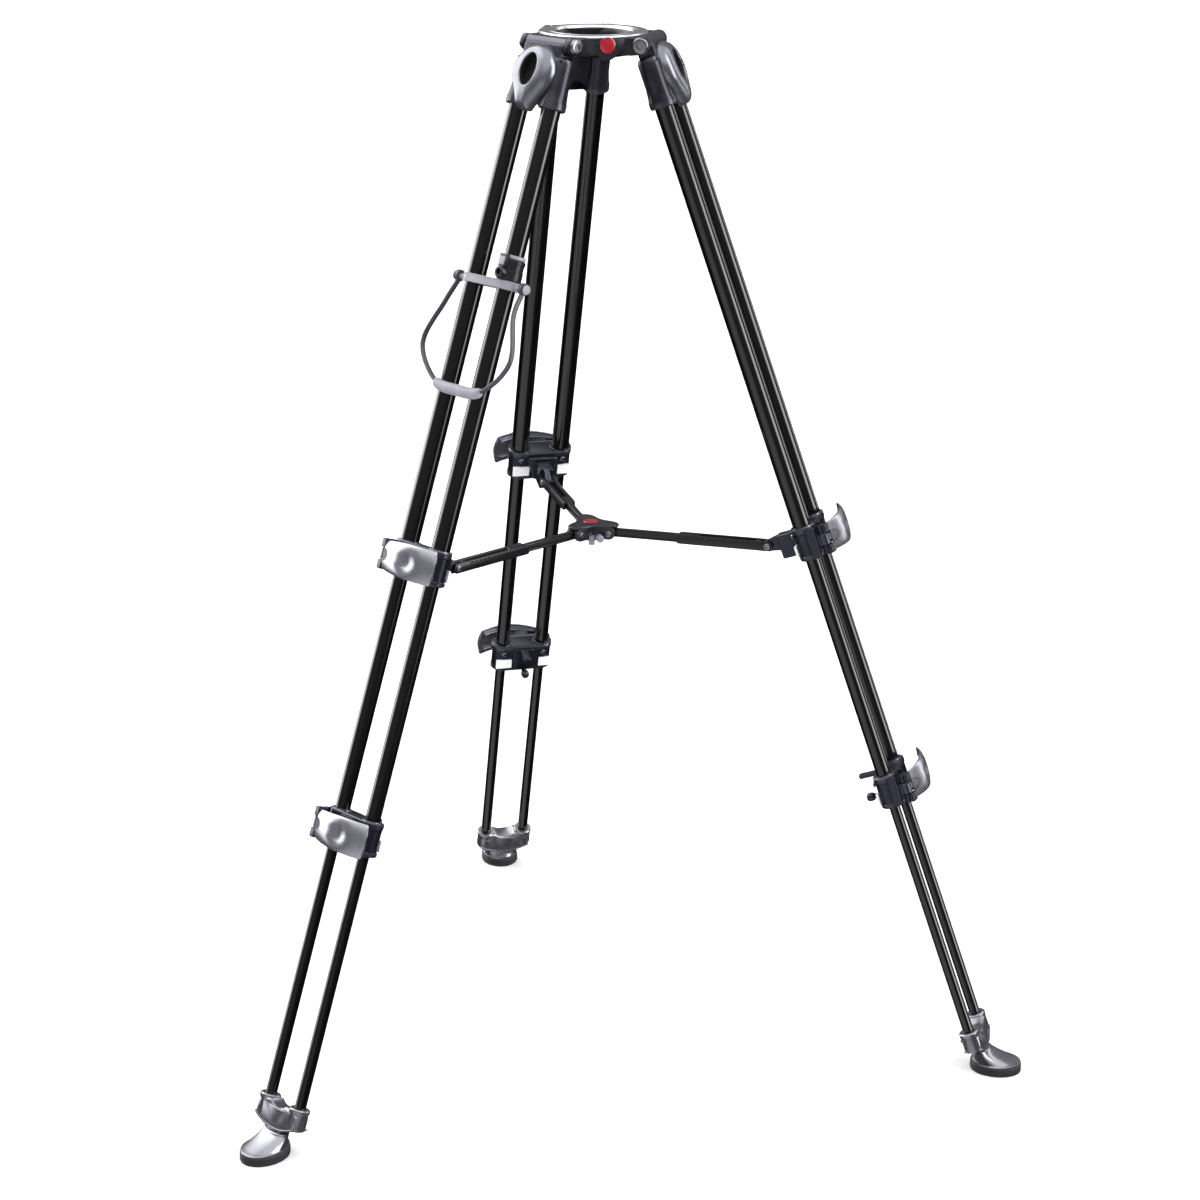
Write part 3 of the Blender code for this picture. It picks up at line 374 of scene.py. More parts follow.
def slab(outline, low, high, edge, axis="z", centre=(0.0, 0.0), steps=4):
    """A flat outline given thickness, with its edges rounded over.

    Near each face the outline draws in along its normals, by the edge radius times one
    less the sine of an angle, while the height follows one less its cosine.
    """
    outline = np.array(outline)
    area = (outline[:, 0] * np.roll(outline[:, 1], -1)
            - outline[:, 1] * np.roll(outline[:, 0], -1)).sum()
    if area < 0:
        outline = outline[::-1]
    turn = np.linspace(0, np.pi / 2, steps)
    draw_in = edge * (1 - np.sin(turn))
    rise = edge * (1 - np.cos(turn))
    inset = np.concatenate([draw_in, draw_in[::-1]])
    heights = np.concatenate([low + rise, (high - rise)[::-1]])
    normal = outward(outline)
    return skin(stacked(outline - inset[:, None, None] * normal, heights, axis, centre))


def softened(corners, cut, steps=7):
    """A closed outline with rounded corners.

    Each corner is a quadratic curve, pulled towards the corner, from a point a cut
    before it to a point as far after it; the cut is at most half of the shorter side.
    """
    corners = np.array(corners, float)
    before = np.roll(corners, 1, axis=0) - corners
    after = np.roll(corners, -1, axis=0) - corners
    to_before = np.linalg.norm(before, axis=1)
    to_after = np.linalg.norm(after, axis=1)
    cut = np.minimum(cut, 0.49 * np.minimum(to_before, to_after))
    start = corners + before * (cut / to_before)[:, None]
    end = corners + after * (cut / to_after)[:, None]
    t = np.linspace(0, 1, steps)[None, :, None]
    curve = (1 - t) ** 2 * start[:, None] + 2 * t * (1 - t) * corners[:, None]
    curve = curve + t**2 * end[:, None]
    return curve.reshape(-1, 2)


def arc(radius, start, end, steps, centre=(0.0, 0.0)):
    """Points on an arc between two angles in degrees."""
    turn = np.radians(np.linspace(start, end, steps))
    return np.stack([np.cos(turn), np.sin(turn)], axis=-1) * radius + np.array(centre)


def turned_by(shell, angle):
    """A skin turned about the upright axis."""
    points, faces = shell
    c, s = math.cos(angle), math.sin(angle)
    return points @ np.array([[c, -s, 0], [s, c, 0], [0, 0, 1]]).T, faces


def painted_casting(name, colour, shade, worn, roughness, metallic, wear=0.35):
    """Satin paint over a die casting.

    The paint has the fine orange peel of spraying, about 1 mm across, and a metal flake
    that is drawn 0.4 mm wide so that it shows. Its colour drifts slowly over a few
    centimetres, and it wears light along edges.
    """
    made, tree, shader = new_finish(name, roughness, metallic)
    own = pattern_place(tree)
    peel = add(tree, "ShaderNodeTexNoise", {"Vector": own, "Scale": 900.0, "Detail": 2.0})
    cloud = add(tree, "ShaderNodeTexNoise", {"Vector": own, "Scale": 45.0, "Detail": 4.0})
    flake = add(tree, "ShaderNodeTexVoronoi", {"Vector": own, "Scale": 2500.0})
    tone = add(tree, "ShaderNodeMix", {0: cloud.outputs["Fac"], 6: linear(shade),
                                       7: linear(colour)}, data_type="RGBA")
    sparkle = add(tree, "ShaderNodeMapRange", {"Value": flake.outputs["Distance"],
                                               "From Max": 0.35, "To Min": 0.16,
                                               "To Max": 0.0})
    flecked = add(tree, "ShaderNodeMix", {0: sparkle.outputs[0], 6: tone.outputs[2],
                                          7: linear(worn)}, data_type="RGBA")
    edge = add(tree, "ShaderNodeNewGeometry")
    bare = add(tree, "ShaderNodeMapRange", {"Value": edge.outputs["Pointiness"],
                                            "From Min": 0.53, "From Max": 0.62,
                                            "To Max": wear})
    rubbed = add(tree, "ShaderNodeMix", {0: bare.outputs[0], 6: flecked.outputs[2],
                                         7: linear(worn)}, data_type="RGBA")
    gloss = add(tree, "ShaderNodeMapRange", {"Value": cloud.outputs["Fac"],
                                             "To Min": roughness - 0.07,
                                             "To Max": roughness + 0.09})
    relief = add(tree, "ShaderNodeBump", {"Height": peel.outputs["Fac"], "Strength": 0.12,
                                          "Distance": 0.0002})
    tree.links.new(rubbed.outputs[2], shader.inputs["Base Color"])
    tree.links.new(gloss.outputs[0], shader.inputs["Roughness"])
    tree.links.new(relief.outputs[0], shader.inputs["Normal"])
    return made


def machined_rim():
    """Bright machined aluminium: turning marks run round the ring, drawn 0.5 mm apart."""
    made, tree, shader = new_finish("machined_aluminium", 0.3, 1.0)
    own = pattern_place(tree)
    flat = add(tree, "ShaderNodeMapping", {"Vector": own, "Scale": (1, 1, 0)})
    reach_out = add(tree, "ShaderNodeVectorMath", {0: flat.outputs[0]}, operation="LENGTH")
    marks = add(tree, "ShaderNodeTexNoise", {"W": reach_out.outputs["Value"],
                                             "Scale": 2000.0, "Detail": 2.0},
                noise_dimensions="1D")
    tone = add(tree, "ShaderNodeMix", {0: marks.outputs["Fac"], 6: linear("#b9bac0"),
                                       7: linear("#e2e3e8")}, data_type="RGBA")
    gloss = add(tree, "ShaderNodeMapRange", {"Value": marks.outputs["Fac"], "To Min": 0.2,
                                             "To Max": 0.38})
    tree.links.new(tone.outputs[2], shader.inputs["Base Color"])
    tree.links.new(gloss.outputs[0], shader.inputs["Roughness"])
    return made


CROWN_FINISH = painted_casting("dark_painted_casting", "#26262c", "#141418", "#8d8d96",
                               0.3, 0.6)
RIM_FINISH = machined_rim()
RIM_HEIGHT = 0.0022
ball_centre = CROWN_TOP - 0.002
seat_drops = np.linspace(0.0045, 0.0200, 7)
seat = [(float(np.sqrt(BOWL_RADIUS**2 - drop**2)), float(ball_centre - drop))
        for drop in seat_drops]
under_rim = CROWN_TOP - RIM_HEIGHT
crown_ring = turned(
    [(CROWN_RADIUS - 0.0008, under_rim), (CROWN_RADIUS, under_rim - 0.0008),
     (CROWN_RADIUS, -0.006), (CROWN_RADIUS - 0.0012, -0.009), (CROWN_RADIUS - 0.005, -0.0115),
     (NECK_RADIUS + 0.006, CROWN_FLOOR + 0.0004), (NECK_RADIUS + 0.0045, CROWN_FLOOR),
     (NECK_RADIUS + 0.001, CROWN_FLOOR), (NECK_RADIUS, CROWN_FLOOR + 0.001)]
    + seat[::-1] + [(LIP_RADIUS - 0.0015, under_rim - 0.0002)],
    wrap=True, count=128)
crown_shells = [crown_ring]
ear_low = BARREL_HALF + EAR_GAP
ear_high = ear_low + EAR_THICKNESS
ear_radius = BARREL_RADIUS + 0.0005
ear_root = HINGE_OFFSET - 0.026
ear_side = np.vstack([
    [(ear_root, under_rim), (HINGE_OFFSET + 0.002, under_rim)],
    arc(ear_radius, 62, -90, 18, (HINGE_OFFSET, 0)),
    [(HINGE_OFFSET - 0.010, -0.0105), (ear_root, -0.0105)],
])
web_back = HINGE_OFFSET - BARREL_RADIUS - 0.0006
LEG_TURNS = {
    leg: math.atan2(*(hinge_places[i] - axis_place)[1::-1]) - math.pi / 2
    for i, leg in enumerate(LEGS)
}
for leg, turn in LEG_TURNS.items():
    for wing in (-1, 1):
        low, high = sorted((wing * ear_low, wing * ear_high))
        crown_shells.append(turned_by(slab(ear_side, low, high, 0.0009, "x"), turn))
    bridge = softened([(-ear_high + 0.001, ear_root), (ear_high - 0.001, ear_root),
                       (ear_high - 0.001, web_back), (-ear_high + 0.001, web_back)], 0.002)
    crown_shells.append(turned_by(slab(bridge, -0.0105, under_rim, 0.0008), turn))
PAD_RADIUS = 0.0115
pad_middle = CROWN_TOP - RIM_HEIGHT - PAD_RADIUS + 0.0009
crown_shells.append(turned([
    (PAD_RADIUS - 0.0008, -CROWN_RADIUS - 0.0015), (PAD_RADIUS, -CROWN_RADIUS - 0.0007),
    (PAD_RADIUS + 0.0006, -CROWN_RADIUS + 0.008),
], "y", (0, pad_middle)))
piece("crown_casting", crown_shells, CROWN_PLACE, "crown", ["crown"],
      CROWN_FINISH)


def bright_rim():
    """The machined top: a flat ring round the bowl's lip.

    Outside it drops to a chamfer, and inside its lip rolls over into the bowl.
    """
    return turned([
        (CROWN_RADIUS - 0.0002, under_rim), (CROWN_RADIUS, CROWN_TOP - 0.0014),
        (CROWN_RADIUS - 0.0012, CROWN_TOP), (LIP_RADIUS + 0.0045, CROWN_TOP),
        (LIP_RADIUS + 0.0038, CROWN_TOP - 0.0006), (LIP_RADIUS + 0.0030, CROWN_TOP - 0.0006),
        (LIP_RADIUS + 0.0023, CROWN_TOP), (LIP_RADIUS + 0.0005, CROWN_TOP),
        (LIP_RADIUS, CROWN_TOP - 0.0005), (LIP_RADIUS - 0.0012, under_rim - 0.0004),
    ], wrap=True, count=160)


piece("crown_bright_rim", [bright_rim()], CROWN_PLACE, "crown", [], RIM_FINISH)

# ---------------------------------------------------------------- red domes
# Two small discs of clear-coated red plastic: one pressed into the pad at the crown's
# front, one on top of the spreader's hub. They carry no mark.

BADGE_RADIUS = 0.0082


def red_dome_plastic():
    """Moulded ABS with a poured clear dome: deep red, glossy, faint flow in the colour."""
    made, tree, shader = new_finish("domed_red_abs", 0.25, 0.0)
    flow = add(tree, "ShaderNodeTexNoise", {"Vector": pattern_place(tree), "Scale": 300.0})
    tone = add(tree, "ShaderNodeMix", {0: flow.outputs["Fac"], 6: linear("#7d0a1a"),
                                       7: linear("#a8152a")}, data_type="RGBA")
    tree.links.new(tone.outputs[2], shader.inputs["Base Color"])
    shader.inputs["Coat Weight"].default_value = 0.9
    shader.inputs["Coat Roughness"].default_value = 0.05
    return made


def dome(radius, height, axis="z", base=0.0, centre=(0.0, 0.0), side=1):
    """A shallow dome: its height falls with the square of the distance from the middle,
    over a short upright edge."""
    share = np.linspace(0.04, 0.97, 9)
    profile = [(radius * 0.98, base), (radius, base + side * height * 0.25)]
    rise = [(radius * s, base + side * height * (0.35 + 0.65 * (1 - s * s)))
            for s in share[::-1]]
    return turned(profile + rise, axis, centre)


RED_FINISH = red_dome_plastic()
badge_low, badge_high = (np.array(c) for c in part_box("crown_badge"))
badge_middle = (badge_low + badge_high) / 2 - axis_place
badge_base = badge_high[1] - axis_place[1]
piece("crown_badge_dome",
      [dome(BADGE_RADIUS, 0.0018, "y", badge_base, (0, badge_middle[2]), -1)],
      CROWN_PLACE, "crown", ["crown_badge"], RED_FINISH)

# ---------------------------------------------------------------- shoulders
# A die-cast shoulder caps each pair of upper tubes and turns on the crown's bolt. It is
# painted charcoal, and a big silver boss is screwed to its outer side.

SHOULDER_LENGTH = 0.066
SOCKET_RADIUS = UPPER_RADIUS + 0.003
SOCKET_TOP = BARREL_RADIUS + 0.006
BOSS_RADIUS = 0.028
BOSS_MIDDLE = -0.031
BOSS_OUT = 0.0235
BOSS_SLOPE = 32
BOSS_BACK = 0.0106
BOSS_EDGE = 0.0112
CHARCOAL_FINISH = painted_casting("charcoal_painted_casting", "#3c3b45", "#1e1d25",
                                  "#9d9ca8", 0.24, 0.7)
BOSS_FINISH = painted_casting("silver_grey_painted_casting", "#8d8e95", "#65666e",
                              "#d8d8dd", 0.26, 0.8)
DISH_FINISH = painted_casting("matt_black_recess", "#0f0f12", "#08080a", "#3a3a40", 0.55, 0.1)


def shoulder_shells():
    """Barrel, two sockets with thick lips, and the web between them."""
    half = TUBE_SPACING / 2
    edge = half + SOCKET_RADIUS
    low = -SHOULDER_LENGTH
    shells = []
    for x in (-half, half):
        shells.append(turned([
            (SOCKET_RADIUS - 0.007, -SOCKET_TOP + 0.003),
            (SOCKET_RADIUS - 0.002, -SOCKET_TOP + 0.0005),
            (SOCKET_RADIUS - 0.0004, -SOCKET_TOP - 0.004), (SOCKET_RADIUS - 0.0006, low + 0.022),
            (SOCKET_RADIUS + 0.0006, low + 0.010), (SOCKET_RADIUS + 0.0014, low + 0.0075),
            (SOCKET_RADIUS + 0.0014, low + 0.0012),
            (SOCKET_RADIUS, low), (UPPER_RADIUS + 0.0004, low),
            (UPPER_RADIUS + 0.0004, -SOCKET_TOP - 0.005),
        ], centre=(x, 0), count=48))
    inner = half - UPPER_RADIUS - 0.0006
    web = softened([(inner, -0.004), (inner, low + 0.002), (0, low + 0.016),
                    (-inner, low + 0.002), (-inner, -0.004)], 0.004)
    shells.append(slab(web, -0.0095, 0.0115, 0.0015, "y"))
    yoke = softened([(BARREL_HALF - 0.001, 0), (BARREL_HALF - 0.001, -SOCKET_TOP),
                     (edge - 0.002, -SOCKET_TOP - 0.004), (-edge + 0.002, -SOCKET_TOP - 0.004),
                     (-BARREL_HALF + 0.001, -SOCKET_TOP), (-BARREL_HALF + 0.001, 0)], 0.004)
    shells.append(slab(yoke, -0.0088, 0.0105, 0.0025, "y"))
    edge_in = 0.0008
    shells.append(turned([
        (BARREL_RADIUS - edge_in, -BARREL_HALF), (BARREL_RADIUS, -BARREL_HALF + edge_in),
        (BARREL_RADIUS, BARREL_HALF - edge_in), (BARREL_RADIUS - edge_in, BARREL_HALF),
    ], "x", count=40))
    cheek = softened([(-0.011, -0.012), (0.011, -0.012), (0.0125, -0.030), (0.010, -0.048),
                      (0, -0.052), (-0.010, -0.048), (-0.0125, -0.030)], 0.005)
    shells.append(slab(cheek, -0.0112, 0, 0.0015, "y"))
    return shells


def boss_outline(bearing):
    """Distance from the boss's middle to its edge at a bearing.

    It is the boss's radius all round, except below, where two straight sides that touch
    the round at the slope's angle meet in a point.
    """
    below = np.abs(np.mod(bearing - 1.5 * np.pi + np.pi, 2 * np.pi) - np.pi)
    touch = np.pi / 2 - np.radians(BOSS_SLOPE)
    side = BOSS_RADIUS / np.cos(np.minimum(np.abs(below - touch), 1.2))
    tip = SHOULDER_LENGTH + 0.006 + BOSS_MIDDLE
    pointed = np.minimum(side, tip / np.maximum(np.cos(below), 0.3))
    return np.where(below < touch, pointed, BOSS_RADIUS)


DISH_WIDE = 0.0108
DISH_TALL = 0.0168
DISH_DEEP = 0.0105


def boss_height(x, z, share):
    """How far the boss's face stands out at a point a share of the way to its edge.

    The full height times the root of one less the fifth power of the share, leaning out
    towards the bottom, less the oval dish, whose wall is a smooth step just inside it.
    """
    raised = BOSS_EDGE + (BOSS_OUT - BOSS_EDGE) * (1 - share**5) ** 0.5
    lean = 1 + 0.10 * (BOSS_MIDDLE - z) / BOSS_RADIUS
    oval = np.sqrt((x / DISH_WIDE) ** 2 + ((z - BOSS_MIDDLE) / DISH_TALL) ** 2)
    step = np.clip((1.05 - oval) / 0.22, 0, 1)
    return raised * lean - DISH_DEEP * step * step * (3 - 2 * step)


def boss_skin():
    """The silver boss: a polar grid over the teardrop, raised by its height."""
    bearing = np.linspace(0, 2 * np.pi, 96, endpoint=False)
    share = np.concatenate([np.linspace(0.02, 0.72, 44), np.linspace(0.74, 1.0, 14)])[:, None]
    span = boss_outline(bearing)[None, :] * share
    x = span * np.cos(bearing)
    z = BOSS_MIDDLE + span * np.sin(bearing)
    rings = np.stack([x, boss_height(x, z, share), z], axis=-1)
    back = rings[-1:].copy()
    back[..., 1] = BOSS_BACK
    return skin(np.concatenate([rings, back]))


def dish_skin():
    """The dish's dark lining: an oval grid that lies just over the boss's own surface."""
    share = np.linspace(1.0, 0.03, 22)[:, None]
    unit = circle(72)
    x = share * DISH_WIDE * unit[:, 0]
    z = BOSS_MIDDLE + share * DISH_TALL * unit[:, 1]
    bearing = np.arctan2(z - BOSS_MIDDLE, x)
    towards = np.hypot(x, z - BOSS_MIDDLE) / boss_outline(bearing)
    rings = np.stack([x, boss_height(x, z, towards) + 0.0002, z], axis=-1)
    back = rings[:1].copy()
    back[..., 1] = rings[-1, 0, 1] - 0.001
    return skin(np.concatenate([back, rings]))


for leg, place in LEG_PLACES.items():
    piece(leg + "_shoulder_casting", shoulder_shells(), place, leg + "_leg",
          [leg + "_shoulder"], CHARCOAL_FINISH)
    piece(leg + "_shoulder_boss", [boss_skin()], place, leg + "_leg", [],
          BOSS_FINISH, 50)
    piece(leg + "_shoulder_dish", [dish_skin()], place, leg + "_leg", [],
          DISH_FINISH)

# ---------------------------------------------------------------- hinge bolts
# Each shoulder turns on one steel bolt through the crown's ears. Its round heads have a
# chamfer and a hex socket, and are bright zinc plated.

BOLT_RADIUS = 0.004
BOLT_HEAD = 0.0083
BOLT_HEIGHT = 0.0030


def zinc_steel():
    """Zinc-plated steel: bright, faintly mottled, with fine turning on the face."""
    made, tree, shader = new_finish("zinc_plated_steel", 0.25, 1.0)
    own = pattern_place(tree)
    mottle = add(tree, "ShaderNodeTexNoise", {"Vector": own, "Scale": 400.0, "Detail": 3.0})
    tone = add(tree, "ShaderNodeMix", {0: mottle.outputs["Fac"], 6: linear("#6e6f75"),
                                       7: linear("#a6a7ad")}, data_type="RGBA")
    gloss = add(tree, "ShaderNodeMapRange", {"Value": mottle.outputs["Fac"],
                                             "To Min": 0.18, "To Max": 0.36})
    tree.links.new(tone.outputs[2], shader.inputs["Base Color"])
    tree.links.new(gloss.outputs[0], shader.inputs["Roughness"])
    return made


def socket_head(radius, height, base, axis, side=1, centre=(0.0, 0.0), socket=0.4):
    """A round head with a hex socket.

    The rings go up the side, over the chamfer to the socket's rim, then down the hexagon,
    whose radius at each bearing is its flat distance over the cosine from the flat.
    """
    count = 48
    bearing = np.linspace(0, 2 * np.pi, count, endpoint=False)
    unit = circle(count)
    flat = socket * radius
    hexagon = (flat / np.cos(np.mod(bearing, np.pi / 3) - np.pi / 6))[:, None] * unit
    chamfer = 0.18 * radius
    rings = [
        (unit * radius, 0.0), (unit * radius, height - chamfer),
        (unit * (radius - chamfer * 0.4), height - chamfer * 0.25),
        (unit * (radius - chamfer), height), (hexagon * 1.08, height),
        (hexagon, height - 0.05 * radius), (hexagon, height * 0.35),
    ]
    outlines = np.array([ring for ring, _ in rings])
    return skin(stacked(outlines, [base + side * h for _, h in rings], axis, centre))


STEEL_FINISH = zinc_steel()
ear_face = ear_high + 0.0003
for leg, place in LEG_PLACES.items():
    shells = [turned([(BOLT_RADIUS, -ear_face), (BOLT_RADIUS, ear_face)], "x")]
    shells += [socket_head(BOLT_HEAD, BOLT_HEIGHT, side * ear_face, "x", side)
               for side in (-1, 1)]
    washer = [turned([(BOLT_HEAD + 0.0004, low), (BOLT_HEAD + 0.0004, low + 0.0006)], "x")
              for low in (-ear_face - 0.0001, ear_face - 0.0005)]
    piece(leg + "_hinge_bolt_steel", shells + washer, place, "crown",
          [leg + "_hinge_bolt"], STEEL_FINISH)

# ---------------------------------------------------------------- lock collars
# Each lock is a die-cast collar round both tubes, painted black, that a cam lever
# squeezes shut. The first collar of a leg carries the spreader's arm on a lug.

LOCK_HEIGHT = 0.036
LOCK_DEPTH = UPPER_RADIUS + 0.003
LOCK_HALF_WIDTH = TUBE_SPACING / 2 + LOCK_DEPTH
KNUCKLE_RADIUS = 0.0055
KNUCKLE_HALF = 0.006
BORE_GAP = 0.0003  # all round a tube, inside the part it passes through
SCREW_UP = 0.009
LOCK_FINISH = painted_casting("black_painted_casting", "#383946", "#1d1e27", "#8a8b97",
                              0.24, 0.75)


def stadium(half_spacing, radius, steps=17):
    """Two half rounds joined by straight sides."""
    right = arc(radius, -90, 90, steps, (half_spacing, 0))
    left = arc(radius, 90, 270, steps, (-half_spacing, 0))
    return np.vstack([right, left])


def collar_shells(pivot, stage_radius, next_radius):
    """A collar, drawn round its middle height.

    The body is a hollow stadium with a shallow groove under each lip, filled between the
    tubes. It has a raised ring round each tube, the knuckle that the lever turns on and a
    jaw beside it that stays below the lever's heel.
    """
    half = TUBE_SPACING / 2
    tall = LOCK_HEIGHT / 2
    heights = np.array([-tall, -tall + 0.0012, -tall + 0.004, -tall + 0.005, tall - 0.007,
                        tall - 0.006, tall - 0.0012, tall])
    reach_out = np.array([-0.0012, 0, 0, -0.0009, -0.0009, 0, 0, -0.0012]) + LOCK_DEPTH
    bore = stage_radius + BORE_GAP
    heights = np.concatenate([heights, [tall - 0.0003, -tall + 0.0003]])
    rings = np.array([stadium(half, radius) for radius in (*reach_out, bore, bore)])
    shells = [skin(stacked(rings, heights), wrap=True)]
    gap = half - stage_radius - 0.0004
    filling = [(-gap, -bore), (gap, -bore), (gap, bore), (-gap, bore)]
    shells.append(slab(filling, -tall + 0.0006, tall - 0.0006, 0.0004))
    for x in (-half, half):
        for base, side, bore in ((tall, 1, stage_radius), (-tall, -1, next_radius)):
            lip = bore + 0.0024
            shells.append(turned([
                (lip + 0.0006, base - side * 0.001), (lip, base + side * 0.0007),
                (bore + 0.0010, base + side * 0.0009), (bore + 0.0003, base - side * 0.0006),
            ], centre=(x, 0), wrap=True))
    pivot_x, pivot_y, _ = pivot
    shells.append(turned([
        (KNUCKLE_RADIUS - 0.0006, -KNUCKLE_HALF), (KNUCKLE_RADIUS, -KNUCKLE_HALF + 0.0006),
        (KNUCKLE_RADIUS, KNUCKLE_HALF - 0.0006), (KNUCKLE_RADIUS - 0.0006, KNUCKLE_HALF),
    ], centre=(pivot_x, pivot_y)))
    neck = softened([(pivot_x - 0.0055, LOCK_DEPTH - 0.0020),
                     (pivot_x + 0.004, LOCK_DEPTH - 0.004),
                     (pivot_x + 0.0052, pivot_y), (pivot_x - 0.0052, pivot_y)], 0.001)
    shells.append(slab(neck, -KNUCKLE_HALF, KNUCKLE_HALF, 0.0008))
    jaw = softened([(LOCK_HALF_WIDTH - 0.0025, 0.003), (LOCK_HALF_WIDTH - 0.0003, 0.004),
                    (LOCK_HALF_WIDTH + 0.0008, pivot_y - 0.0075),
                    (LOCK_HALF_WIDTH - 0.0065, pivot_y - 0.0075)], 0.001)
    shells.append(slab(jaw, -tall + 0.0015, tall - 0.002, 0.001))
    web = softened([(-0.010, tall - 0.002), (0.010, tall - 0.002), (0.006, -0.004),
                    (0, -tall + 0.006), (-0.006, -0.004)], 0.003)
    shells.append(slab(web, 0.0, LOCK_DEPTH + 0.0018, 0.001, "y"))
    return shells


def arm_lug_shells(pivot):
    """The lug on a first collar and the tongue that the arm's fork pins to."""
    _, pivot_y, pivot_z = pivot
    tall = LOCK_HEIGHT / 2
    lug_end = pivot_y + 0.013
    wide = softened([(-0.018, tall - 0.004), (0.018, tall - 0.004), (0.010, -tall + 0.003),
                     (-0.010, -tall + 0.003)], 0.004)
    shells = [slab(wide, -LOCK_DEPTH - 0.006, -LOCK_DEPTH + 0.004, 0.002, "y")]
    lug = softened([(-0.0085, tall - 0.007), (0.0085, tall - 0.007), (0.007, -tall + 0.002),
                    (-0.007, -tall + 0.002)], 0.003)
    shells.append(slab(lug, lug_end, -LOCK_DEPTH, 0.0015, "y"))
    tongue = np.vstack([
        arc(0.0060, 110, 250, 16, (pivot_y, pivot_z)),
        [(lug_end + 0.002, pivot_z - 0.009), (lug_end + 0.002, pivot_z + 0.009)],
    ])
    shells.append(slab(tongue, -0.003, 0.003, 0.0006, "x"))
    return shells


def peg_shells():
    """The second collar's inner side: a tab above with an eye, and a knob on a peg."""
    tall = LOCK_HEIGHT / 2
    tab = softened([(-0.0045, -LOCK_DEPTH + 0.002), (0.0045, -LOCK_DEPTH + 0.002),
                    (0.0045, -LOCK_DEPTH - 0.021), (-0.0045, -LOCK_DEPTH - 0.021)], 0.003)
    shells = [slab(tab, tall - 0.0062, tall - 0.0018, 0.0008)]
    shells.append(turned([
        (0.0030, -LOCK_DEPTH + 0.002), (0.0028, -LOCK_DEPTH - 0.010),
        (0.0034, -LOCK_DEPTH - 0.0115), (0.0045, -LOCK_DEPTH - 0.0125),
        (0.0049, -LOCK_DEPTH - 0.0155), (0.0044, -LOCK_DEPTH - 0.0185),
        (0.0030, -LOCK_DEPTH - 0.0198),
    ], "y", (0, -tall + 0.0065)))
    back = softened([(-0.013, tall - 0.003), (0.013, tall - 0.003), (0.010, -tall + 0.004),
                     (-0.010, -tall + 0.004)], 0.004)
    shells.append(slab(back, -LOCK_DEPTH - 0.0022, 0, 0.001, "y"))
    return shells


LOCKS = (("first", "leg", UPPER_RADIUS, MIDDLE_RADIUS),
         ("second", "middle", MIDDLE_RADIUS, LOWER_RADIUS))
for leg, place in LEG_PLACES.items():
    for lock, body, stage_radius, next_radius in LOCKS:
        pivot = inside(place, JOINTS[f"{leg}_{lock}_lever_flip"]["pos_m"])
        middle = shifted(place, z=pivot[2])
        shells = collar_shells(pivot, stage_radius, next_radius)
        if lock == "first":
            arm_pivot = inside(middle, JOINTS[leg + "_fork_swing"]["pos_m"])
            shells += arm_lug_shells(arm_pivot)
        else:
            shells += peg_shells()
        piece(f"{leg}_{lock}_collar", shells, middle, f"{leg}_{body}",
              [f"{leg}_{lock}_lock"], LOCK_FINISH)
        screws = [socket_head(0.0030, 0.0016, -LOCK_DEPTH - 0.0002, "y", -1, (x, SCREW_UP), 0.45)
                  for x in SIDES.values()]
        piece(f"{leg}_{lock}_collar_screws", screws, middle, f"{leg}_{body}", [],
              STEEL_FINISH)

# ---------------------------------------------------------------- label plates
# Small white plates of printed film lie on the inner side of each collar. They show
# only a few plain strokes in place of any sign.

LABEL_LOW = -0.0125
LABEL_HEIGHT = 0.0125


def label_film():
    """White polyester film with short grey strokes 0.7 mm wide and 2 mm apart."""
    made, tree, shader = new_finish("printed_white_film", 0.35, 0.0)
    split = add(tree, "ShaderNodeSeparateXYZ", {0: pattern_place(tree)})
    stroke = add(tree, "ShaderNodeMath", {0: split.outputs["Z"], 1: 3100.0},
                 operation="MULTIPLY")
    wave = add(tree, "ShaderNodeMath", {0: stroke.outputs[0]}, operation="SINE")
    ink = add(tree, "ShaderNodeMapRange", {"Value": wave.outputs[0], "From Min": 0.75,
                                           "From Max": 0.9, "To Max": 0.4})
    grain = add(tree, "ShaderNodeTexNoise", {"Vector": pattern_place(tree), "Scale": 700.0})
    tone = add(tree, "ShaderNodeMix", {0: grain.outputs["Fac"], 6: linear("#dcdde2"),
                                       7: linear("#f4f4f6")}, data_type="RGBA")
    printed = add(tree, "ShaderNodeMix", {0: ink.outputs[0], 6: tone.outputs[2],
                                          7: linear("#8f8f98")}, data_type="RGBA")
    tree.links.new(printed.outputs[2], shader.inputs["Base Color"])
    return made


LABEL_FINISH = label_film()
for leg, place in LEG_PLACES.items():
    for lock, body, _, _ in LOCKS:
        pivot = inside(place, JOINTS[f"{leg}_{lock}_lever_flip"]["pos_m"])
        middle = shifted(place, z=pivot[2])
        shells = []
        for across, width in ((-0.0235, 0.019), (0.0265, 0.014)):
            sheet = softened([(across - width / 2, LABEL_LOW), (across + width / 2, LABEL_LOW),
                              (across + width / 2, LABEL_LOW + LABEL_HEIGHT),
                              (across - width / 2, LABEL_LOW + LABEL_HEIGHT)], 0.001)
            shells.append(slab(sheet, -LOCK_DEPTH - 0.0004, -LOCK_DEPTH + 0.002, 0.0002, "y"))
        piece(f"{leg}_{lock}_labels", shells, middle, f"{leg}_{body}", [],
              LABEL_FINISH)

# ---------------------------------------------------------------- clamp levers
# The lever is a thin die-cast wing, painted silver, arched over the collar. Two dark eyes
# at its heel turn on a pin in the collar's knuckle, and its free end stands off for a thumb.

